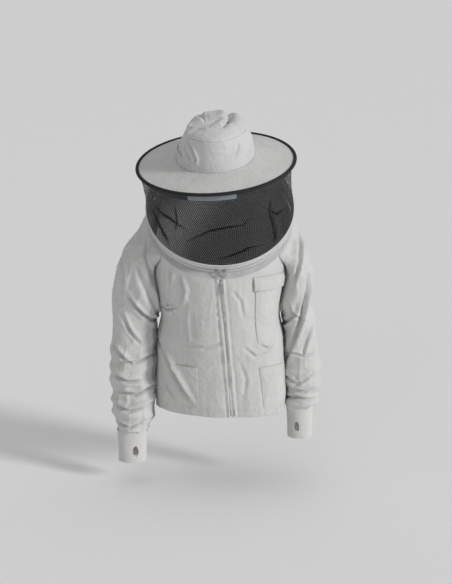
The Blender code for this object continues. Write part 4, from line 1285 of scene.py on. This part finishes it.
@dataclass
class Hat:
    """Soft round hat: brim, bound edge, crown and sweatband, with the veil below it."""

    ring: CollarRing
    looks: Finishes
    centre: tuple[float, float, float] = (-0.011, -0.030, 0.1395)
    tilt: float = math.radians(15.0)
    roll: float = math.radians(4.0)
    brim_radius: float = 0.2085
    brim_drop: float = 0.017
    brim_wall: float = 2.4 * MM
    crown_half_width: float = 0.106
    crown_half_length: float = 0.121
    side_height: float = 0.080
    top_rise: float = 0.026
    taper: float = 0.14
    slump: float = 0.28
    step: float = 0.0110
    ridge_x: float = 0.024
    ridge_z: float = 0.2585
    ridge_slope: float = 0.21
    bound_edge: float = 0.0047
    veil_sag: float = 0.022
    sweatband_inset: float = 0.0046
    sweatband_span: tuple[float, float] = (-0.002, 0.030)
    net_end: float = 0.90
    tape_begin: float = 0.902
    front_band_span: tuple[float, float] = (-0.36, 0.26)
    front_band_rise: tuple[float, float] = (0.915, 0.992)
    veil_radius: float = 0.2008
    veil_top_inset: float = 0.003
    veil_top_drop: float = 0.0044

    def turn(self) -> Grid:
        """Rotation from the hat's own frame."""
        matrix = Matrix.Rotation(self.tilt, 3, "X") @ Matrix.Rotation(-self.roll, 3, "Y")
        return np.array(matrix)

    def point(self, alpha: Grid, half_width: Grid | float, half_length: Grid | float,
              height: Grid | float) -> Grid:
        """Point of an oval at a height above the brim's inner edge."""
        zero = np.zeros(np.broadcast(alpha, half_width, half_length, height).shape)
        x = half_width * np.sin(alpha) + zero
        y = -half_length * np.cos(alpha) + zero
        z = height + self.brim_drop + zero
        return np.stack([x, y, z], -1) @ self.turn().T + np.array(self.centre)

    def brim(self, a: Grid, b: Grid) -> Grid:
        """Brim from its outer edge (0) to the crown (1)."""
        wide = self.brim_radius + (self.crown_half_width - self.brim_radius) * b
        long = self.brim_radius + (self.crown_half_length - self.brim_radius) * b
        return self.point(a, wide, long, -self.brim_drop * (1.0 - b) + 0.0012 * b)

    def crown_side(self, a: Grid, b: Grid) -> Grid:
        """Side of the crown by height share, leaning in towards the top."""
        height = 0.0012 + (self.side_height - 0.0012) * b
        lean = 1.0 - self.taper * np.clip(b, 0.0, 1.0) ** 2
        return self.slouch(a, lean, height)

    def crown_top(self, a: Grid, b: Grid) -> Grid:
        """Domed top of the crown from its edge (0) to the middle (1)."""
        turn = math.pi / 2 * b
        height = self.side_height + self.top_rise * np.sin(turn)
        return self.slouch(a, (1.0 - self.taper) * np.cos(turn), height)

    def slouch(self, a: Grid, out: Grid, height: Grid) -> Grid:
        """Oval of the crown that slumps inwards on the wearer's right as it rises."""
        share = height / (self.side_height + self.top_rise)
        right = smooth(0.5 - 0.9 * np.sin(a))
        narrow = 1.0 - (0.04 + (self.slump - 0.04) * right) * share
        place = self.point(a, self.crown_half_width * out * narrow,
                           self.crown_half_length * out, height)
        # Behind the front panel's top seam the soft crown drops back by one step.
        seam = self.ridge_z + self.ridge_slope * (place[..., 0] - self.ridge_x)
        behind = smooth((place[..., 2] - seam) / 0.006) * smooth((self.ridge_x - place[..., 0])
                                                                 / 0.008)
        ahead = smooth(-(place[..., 1] - self.centre[1]) / 0.03 - 0.3)
        drop = self.step * (behind * ahead)[..., None]
        return place + drop * np.array([0.0, 1.0, -0.35])

    def veil(self, a: Grid, b: Grid) -> Grid:
        """Veil from the ring (0) to the underside of the brim (1), sagging a little."""
        low = self.ring.point(a, self.veil_radius, self.ring.veil_start)
        edge = self.brim_radius - self.veil_top_inset
        high = self.point(a, edge, edge, -self.brim_drop - self.veil_top_drop)
        level = (low + high) / 2 * [1.0, 1.0, 0.0]
        point = low + (high - low) * b[..., None]
        return point - level * (self.veil_sag * np.sin(math.pi * b))[..., None]

    def build(self) -> None:
        looks, pi = self.looks, math.pi
        around = (steady(-pi), steady(pi))
        soft = Folds(pitch=(0.07, 0.07, 0.05), swell=0.0016, crumple=0.0006, seed=101)
        brim = Cloth("brim_cloth", self.brim, *around, 0.0, 1.0, 420, 60, closed=True,
                     wall=self.brim_wall, folds=soft,
                     fade=lambda a, b, p: np.sin(pi * b) ** 0.5)
        brim.dress(looks.plain, "cotton_twill", "hood", "brim", "stretched", "crown_side")
        self.binding()
        crumpled = Folds(creases=(
            Crease(((.030, .262), (.022, .257), (-.010, .251), (-.050, .243), (-.092, .226)),
                   0.0065, 0.0062, 0.9),
            Crease(((-.120, -.070), (-.085, -.098), (-.040, -.112), (.006, -.108), (.024, -.080),
                    (.026, -.020), (.016, .050), (.010, .110)), 0.0140, 0.0085, 0.35, True),
            Crease(((-.030, -.060), (-.052, -.020), (-.050, .030)), 0.0100, 0.0030, 0.4, True),
            Crease(((-.112, .186), (-.090, .147), (-.066, .126)), 0.0045, 0.0055),
            Crease(((-.090, .216), (-.073, .186), (-.063, .160), (-.068, .132)), 0.0040, 0.0036),
            Crease(((.048, .206), (.045, .185), (.036, .163)), 0.0045, 0.0022),
            Crease(((-.098, .190), (-.080, .163), (-.074, .140)), 0.0040, 0.0024),
            Crease(((-.060, .262), (-.046, .258), (-.040, .248)), 0.0050, 0.0024),
        ), pitch=(0.055, 0.055, 0.065), swell=0.0030, crumple=0.0010, seed=111)
        side = Cloth("crown_side_cloth", self.crown_side, *around, 0.0, 1.0, 420, 110,
                     closed=True, wall=1.2 * MM, folds=crumpled,
                     fade=lambda a, b, p: 0.15 + 0.85 * smooth(b / 0.35))
        side.dress(looks.crown, "cotton_twill", "hood", "crown_side", "stretched", "brim")
        top = Cloth("crown_top_cloth", self.crown_top, *around, 0.0, 0.995, 420, 90,
                    closed=True, wall=0.0, folds=crumpled)
        obj = top.build()
        obj.modifiers.new("weld", "WELD").merge_threshold = 0.8 * MM
        apply_modifiers(obj)
        thicken(obj, 1.2 * MM)
        finish_piece(obj, looks.crown, "cotton_twill", "hood", "crown_top")
        top.declare()
        band = Cloth("sweatband_cloth",
                     lambda a, h: self.point(a, self.crown_half_width - self.sweatband_inset,
                                             self.crown_half_length - self.sweatband_inset, h),
                     *around, *self.sweatband_span, 240, 8, closed=True, wall=1.2 * MM)
        band.dress(looks.plain, "cotton_twill", "hood", "sweatband", "stretched",
                   "crown_side")
        self.build_veil()

    def binding(self) -> None:
        """Black tape folded over the edge of the brim."""
        alpha = np.linspace(0, 2 * math.pi, 420, endpoint=False)[:, None]
        turn = np.linspace(0, 2 * math.pi, 14, endpoint=False)[None, :]
        radius = self.brim_radius + self.bound_edge * (0.9 + np.cos(turn))
        points = self.point(alpha + 0 * turn, radius, radius,
                            -self.brim_drop - 0.0012 + self.bound_edge * np.sin(turn))
        obj = closed_tube("brim_binding_tape", points)
        finish_piece(obj, self.looks.black_tape, "black_tape", "hood", "brim_binding")

    def build_veil(self) -> None:
        """Net veil with its folds, and the tape that joins it to the brim."""
        looks, pi = self.looks, math.pi
        folds = Folds(creases=(
            Crease(((-.175, .040), (-.150, .014), (-.115, -.004), (-.084, -.020)), 0.005, 0.005),
            Crease(((-.183, .030), (-.172, .000), (-.152, -.040), (-.132, -.075)), 0.005, 0.006),
            Crease(((-.092, -.056), (-.062, -.038), (-.028, -.020), (.020, -.010),
                    (.060, -.006), (.078, .016)), 0.005, 0.005),
            Crease(((-.012, -.102), (.032, -.090), (.080, -.070), (.122, -.064)), 0.005, 0.005),
            Crease(((.130, .062), (.128, .020), (.142, -.020), (.146, -.055),
                    (.132, -.086)), 0.005, 0.006),
            Crease(((.120, .034), (.150, .012), (.180, .030)), 0.005, 0.005),
            Crease(((-.118, .050), (-.112, .010), (-.118, -.030)), 0.005, 0.003),
        ), pitch=(0.055, 0.055, 0.090), swell=0.0040, crumple=0.0016, seed=121)
        cloth = Cloth("veil_net_cloth", self.veil, steady(-pi), steady(pi), 0.0, self.net_end,
                      560, 168, closed=True, wall=0.0, folds=folds,
                      fade=lambda a, b, p: smooth(b / 0.12) * smooth((self.net_end - b) / 0.12))
        obj = cloth.build()
        # Painted shade: a mask of the crease valleys on the front of the veil, which makes the
        # net opaque there.
        line = np.zeros(cloth.mid.shape[:2])
        for crease in folds.creases:
            dark = Crease(crease.line, 0.0040, 0.75, 0.0)
            line = np.maximum(line, -dark.raise_at(cloth.mid))
        front = cloth.mid[..., 1] < self.centre[1]
        line = (line * front)[:, :-1]
        mark = obj.data.attributes.new("fold", "FLOAT", "POINT")
        mark.data.foreach_set("value", line.reshape(-1).astype(np.float32))
        finish_piece(obj, looks.net, "veil_net", "hood", "veil_mesh")
        cloth.declare()
        tape = Cloth("veil_tape_woven", self.veil, steady(-pi), steady(pi), self.tape_begin,
                     1.0, 420, 6, closed=True, wall=1.2 * MM)
        tape.dress(looks.veil_tape, "black_tape", "hood", "veil_tape", "hung", "brim")
        band = Cloth("veil_front_band", self.veil, *map(steady, self.front_band_span),
                     *self.front_band_rise, 90, 5, wall=0.9 * MM,
                     shape=lambda a, b, u, p: np.full_like(a, 1.4 * MM))
        band.dress(looks.front_band, "black_tape", "hood", "", "hung", "veil_tape")


@dataclass
class FrontZip:
    """Centre front zip: two woven tapes and two coils."""

    form: TrunkForm
    looks: Finishes
    tape_inner: float = 0.0024
    tape_outer: float = 0.0100
    coil_offset: float = 0.0016
    coil_radius: float = 0.0012
    bottom_margin: float = 0.004
    pitch: float = 2.4 * MM

    def line(self, t: Grid) -> Grid:
        """Point of the zip's centre line, t from hem to neck."""
        low = self.form.hem_z + self.bottom_margin
        high = self.form.ring.neck(np.zeros(1))[0][2]
        return self.form.front_line(low + (high - 0.006 - low) * t)

    def build(self) -> None:
        for side in Side:
            sign = side.value

            def surface(a: Grid, b: Grid) -> Grid:
                point = self.line(b).copy()
                point[..., 0] += a
                point[..., 1] += 0.0022
                return point

            span = sorted((sign * self.tape_inner, sign * self.tape_outer))
            tape = Cloth(f"front_tape_{side.label}_woven", surface, steady(span[0]),
                         steady(span[1]), 0.0, 1.0, 6, 160, wall=0.8 * MM)
            tape.dress(self.looks.zip_tape, "zip_tape", "jacket", f"front_tape_{side.label}",
                       "hung", f"front_panel_{side.label}")
            self.coil(side)

    def coil(self, side: Side) -> None:
        """Row of nylon teeth on one side of the zip."""
        low, high = self.line(np.zeros(1))[0], self.line(np.ones(1))[0]
        teeth = int(np.linalg.norm(high - low) / self.pitch)
        t = np.linspace(0, 1, teeth * 4)[:, None]
        turn = np.linspace(0, 2 * math.pi, 10, endpoint=False)[None, :]
        notch = np.where(np.arange(teeth * 4)[:, None] % 4 < 2, 1.0, 0.55)
        points = (low + (high - low) * t[..., None]) + np.zeros((1, 10, 1))
        points = points.copy()
        points[..., 0] += side.value * self.coil_offset + self.coil_radius * np.cos(turn) * notch
        points[..., 1] += self.coil_radius * np.sin(turn) * notch
        obj = open_tube(f"front_coil_{side.label}_teeth", points)
        finish_piece(obj, self.looks.coil, "nylon_coil", "jacket", f"front_coil_{side.label}")


def open_tube(name: str, points: Grid) -> Object:
    """Tube with capped ends from a grid of points closed round its girth."""
    count, around = points.shape[:2]
    index = np.arange(count * around).reshape(count, around)
    wrap = np.pad(index, ((0, 0), (0, 1)), mode="wrap")
    quads = np.stack([wrap[:-1, :-1], wrap[:-1, 1:], wrap[1:, 1:], wrap[1:, :-1]], -1)
    faces = quads.reshape(-1, 4).tolist()
    faces += [index[0, ::-1].tolist(), index[-1].tolist()]
    mesh = bpy.data.meshes.new(name)
    mesh.from_pydata(points.reshape(-1, 3).tolist(), [], faces)
    layer = mesh.uv_layers.new(name="cloth")
    flat = points.reshape(-1, 3)
    loops = np.zeros(len(mesh.loops), dtype=np.int32)
    mesh.loops.foreach_get("vertex_index", loops)
    layer.data.foreach_set("uv", flat[loops][:, [2, 0]].reshape(-1).astype(np.float32))
    return smooth_object(name, mesh)


@dataclass
class Studio:
    """Pale floor, soft lights and the camera."""

    floor_z: float = -0.76
    floor_size: float = 400.0
    eye: tuple[float, float, float] = (0.016, -3.52, 0.617)
    pitch_down: float = math.radians(13.5)
    lens: float = 80.4

    def soft_sun(self, name: str, place: tuple[float, float, float], spread: float,
                 strength: float) -> None:
        """Wide soft light from far away, aimed at the middle of the jacket."""
        data = bpy.data.lights.new(name, "SUN")
        data.angle, data.energy = math.radians(spread), strength
        light = bpy.data.objects.new(name, data)
        light.location = place
        aim = Vector((0.0, 0.0, -0.2)) - Vector(place)
        light.rotation_euler = aim.to_track_quat("-Z", "Y").to_euler()
        bpy.context.scene.collection.objects.link(light)

    def build(self) -> None:
        """Set up floor, lights, background and camera."""
        bpy.ops.mesh.primitive_plane_add(size=self.floor_size, location=(0, 0, self.floor_z))
        floor = bpy.context.object
        floor.name = "studio_floor"
        material, tree, shader = new_material("matt_white_paint")
        coords = add_node(tree, "ShaderNodeTexCoord")
        grain = add_node(tree, "ShaderNodeTexNoise", {"Scale": 60.0},
                         Vector=coords.outputs["Object"])
        colour = blend_colour(tree, grain.outputs["Fac"], "FBFBFB", "F7F7F7")
        tree.links.new(colour, shader.inputs["Base Color"])
        shader.inputs["Roughness"].default_value = 0.9
        floor.data.materials.append(material)
        self.soft_sun("key", (2.8, -1.5, 1.0), 12.0, 1.80)
        self.soft_sun("fill", (-0.5, -2.8, 0.9), 50.0, 0.20)
        self.soft_sun("top", (0.3, 0.6, 2.6), 60.0, 0.30)
        world = bpy.data.worlds.new("studio")
        world.use_nodes = True
        sky = world.node_tree.nodes["Background"]
        sky.inputs["Color"].default_value = linear("FFFFFF")
        sky.inputs["Strength"].default_value = 0.34
        scene = bpy.context.scene
        scene.world = world
        scene.view_settings.view_transform = "Standard"
        camera = bpy.data.objects.new("camera", bpy.data.cameras.new("camera"))
        camera.data.lens = self.lens
        camera.location = self.eye
        camera.rotation_euler = (math.pi / 2 - self.pitch_down, 0.0, 0.0)
        scene.collection.objects.link(camera)
        scene.camera = camera


@dataclass
class BeekeepingJacket:
    """The whole jacket, put together from its sub-assemblies."""

    frame: dict[str, Any]
    ring: CollarRing = field(default_factory=CollarRing)

    def sleeve_form(self, trunk: TrunkForm, side: Side) -> SleeveForm:
        """Sleeve surface of one side."""
        if side is Side.LEFT:
            return SleeveForm(
                trunk, side,
                inner=((.177, -.276), (.181, -.300), (.183, -.350), (.187, -.430),
                       (.190, -.500), (.186, -.546)),
                outer=((.238, -.096), (.256, -.190), (.266, -.325), (.276, -.420),
                       (.274, -.505), (.260, -.546)),
                y=(0.0, -.002, -.006, -.012, -.022, -.036),
                half_depth=(.084, .068, .058, .055, .050, .035))
        return SleeveForm(
            trunk, side,
            inner=((.177, -.284), (.182, -.310), (.184, -.370), (.188, -.470),
                   (.194, -.560), (.206, -.615)),
            outer=((.255, -.096), (.290, -.205), (.302, -.340), (.306, -.460),
                   (.300, -.560), (.288, -.615)),
            y=(0.0, -.002, -.006, -.012, -.026, -.044),
            half_depth=(.084, .070, .062, .060, .054, .036))

    def sleeve_folds(self, side: Side) -> Folds:
        """Listed folds of one sleeve."""
        if side is Side.LEFT:
            return Folds(creases=(
                Crease(((.240, -.136), (.236, -.202), (.211, -.332), (.185, -.424)),
                       0.007, 0.009),
                Crease(((.185, -.453), (.213, -.473), (.254, -.447)), 0.006, 0.006),
                Crease(((.180, -.523), (.213, -.511), (.269, -.520)), 0.006, 0.006),
                Crease(((.208, -.273), (.191, -.298), (.167, -.332)), 0.005, 0.005),
                Crease(((.257, -.293), (.236, -.349), (.226, -.395)), 0.006, 0.005),
                Crease(((.192, -.378), (.228, -.395), (.264, -.384)), 0.005, 0.004),
                Crease(((.215, -.042), (.214, -.130), (.193, -.208)), 0.006, 0.005),
                Crease(((.185, -.236), (.197, -.270), (.233, -.298)), 0.005, 0.004),
                Crease(((.194, -.488), (.233, -.494), (.268, -.476)), 0.005, 0.004),
            ), rolls=(
                Roll(-.437, 0.10, 0.2, 0.012, 0.0050), Roll(-.482, -0.15, -0.1, 0.012, 0.0062),
                Roll(-.527, 0.05, 0.1, 0.010, 0.0075),
            ), middle=(.23, -.02), swell=0.0052, crumple=0.0028, seed=131)
        return Folds(creases=(
            Crease(((-.228, -.130), (-.205, -.194), (-.170, -.293)), 0.008, 0.006),
            Crease(((-.259, -.208), (-.214, -.270), (-.152, -.335)), 0.007, 0.007),
            Crease(((-.298, -.364), (-.271, -.390), (-.241, -.421)), 0.006, 0.006),
            Crease(((-.282, -.413), (-.235, -.410), (-.183, -.395)), 0.007, 0.007),
            Crease(((-.294, -.447), (-.256, -.464), (-.217, -.462)), 0.006, 0.007),
            Crease(((-.284, -.494), (-.237, -.502), (-.189, -.482)), 0.007, 0.008),
            Crease(((-.296, -.529), (-.251, -.546), (-.196, -.529)), 0.007, 0.008),
            Crease(((-.297, -.581), (-.252, -.596), (-.196, -.570)), 0.006, 0.006),
            Crease(((-.271, -.097), (-.261, -.166), (-.268, -.236)), 0.007, 0.005),
            Crease(((-.194, -.047), (-.201, -.111), (-.183, -.183)), 0.007, 0.006),
            Crease(((-.271, -.264), (-.248, -.321), (-.218, -.364)), 0.006, 0.005),
            Crease(((-.258, -.611), (-.225, -.617), (-.197, -.605)), 0.005, 0.004),
        ), rolls=(
            Roll(-.372, 0.30, 0.2, 0.016, 0.0050), Roll(-.430, 0.10, 0.2, 0.014, 0.0062),
            Roll(-.478, -0.12, -0.1, 0.013, 0.0075),
            Roll(-.522, 0.10, 0.2, 0.012, 0.0085), Roll(-.572, -0.08, -0.2, 0.013, 0.0085),
        ), middle=(-.245, -.02), swell=0.0058, crumple=0.0030, seed=141)

    def build(self) -> None:
        """Build every sub-assembly and the studio round them."""
        looks = Finishes.make()
        form = TrunkForm(self.ring)
        trunk = Trunk(form, looks)
        trunk.build()
        FrontZip(form, looks).build()
        RingZip(self.ring, looks).build()
        for side in Side:
            Sleeve(self.sleeve_form(form, side), looks, self.sleeve_folds(side)).build()
        Cuff(Side.LEFT, looks, (.223, -.036), 0.036, -0.546).build()
        Cuff(Side.RIGHT, looks, (.247, -.044), 0.041, -0.615).build()
        folds = trunk.folds
        Pocket("chest_pocket_cloth", "chest_pocket", form, looks, math.radians(28),
               math.radians(69), -0.338, -0.176, folds).build()
        Flap(form, looks, folds).build()
        for side in Side:
            start, end = sorted((side.value * math.radians(26), side.value * math.radians(74)))
            Pocket(f"lower_pocket_{side.label}_cloth", f"lower_pocket_{side.label}", form, looks,
                   start, end, -0.523, -0.408, folds).build()
        Hat(self.ring, looks).build()
        metal = looks.metal
        for name in ("zip_box", "front_slider", "front_pull", "ring_slider_left",
                     "ring_slider_right", "ring_pull_left", "ring_pull_right"):
            node = self.frame["nodes"][name]
            node.data.materials.clear()
            node.data.materials.append(metal)
        Studio().build()


def main() -> None:
    """Load the frame and build the jacket on it."""
    logging.basicConfig(level=logging.INFO, format="%(message)s")
    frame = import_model()
    BeekeepingJacket(frame).build()


if __name__ == "__main__":
    main()
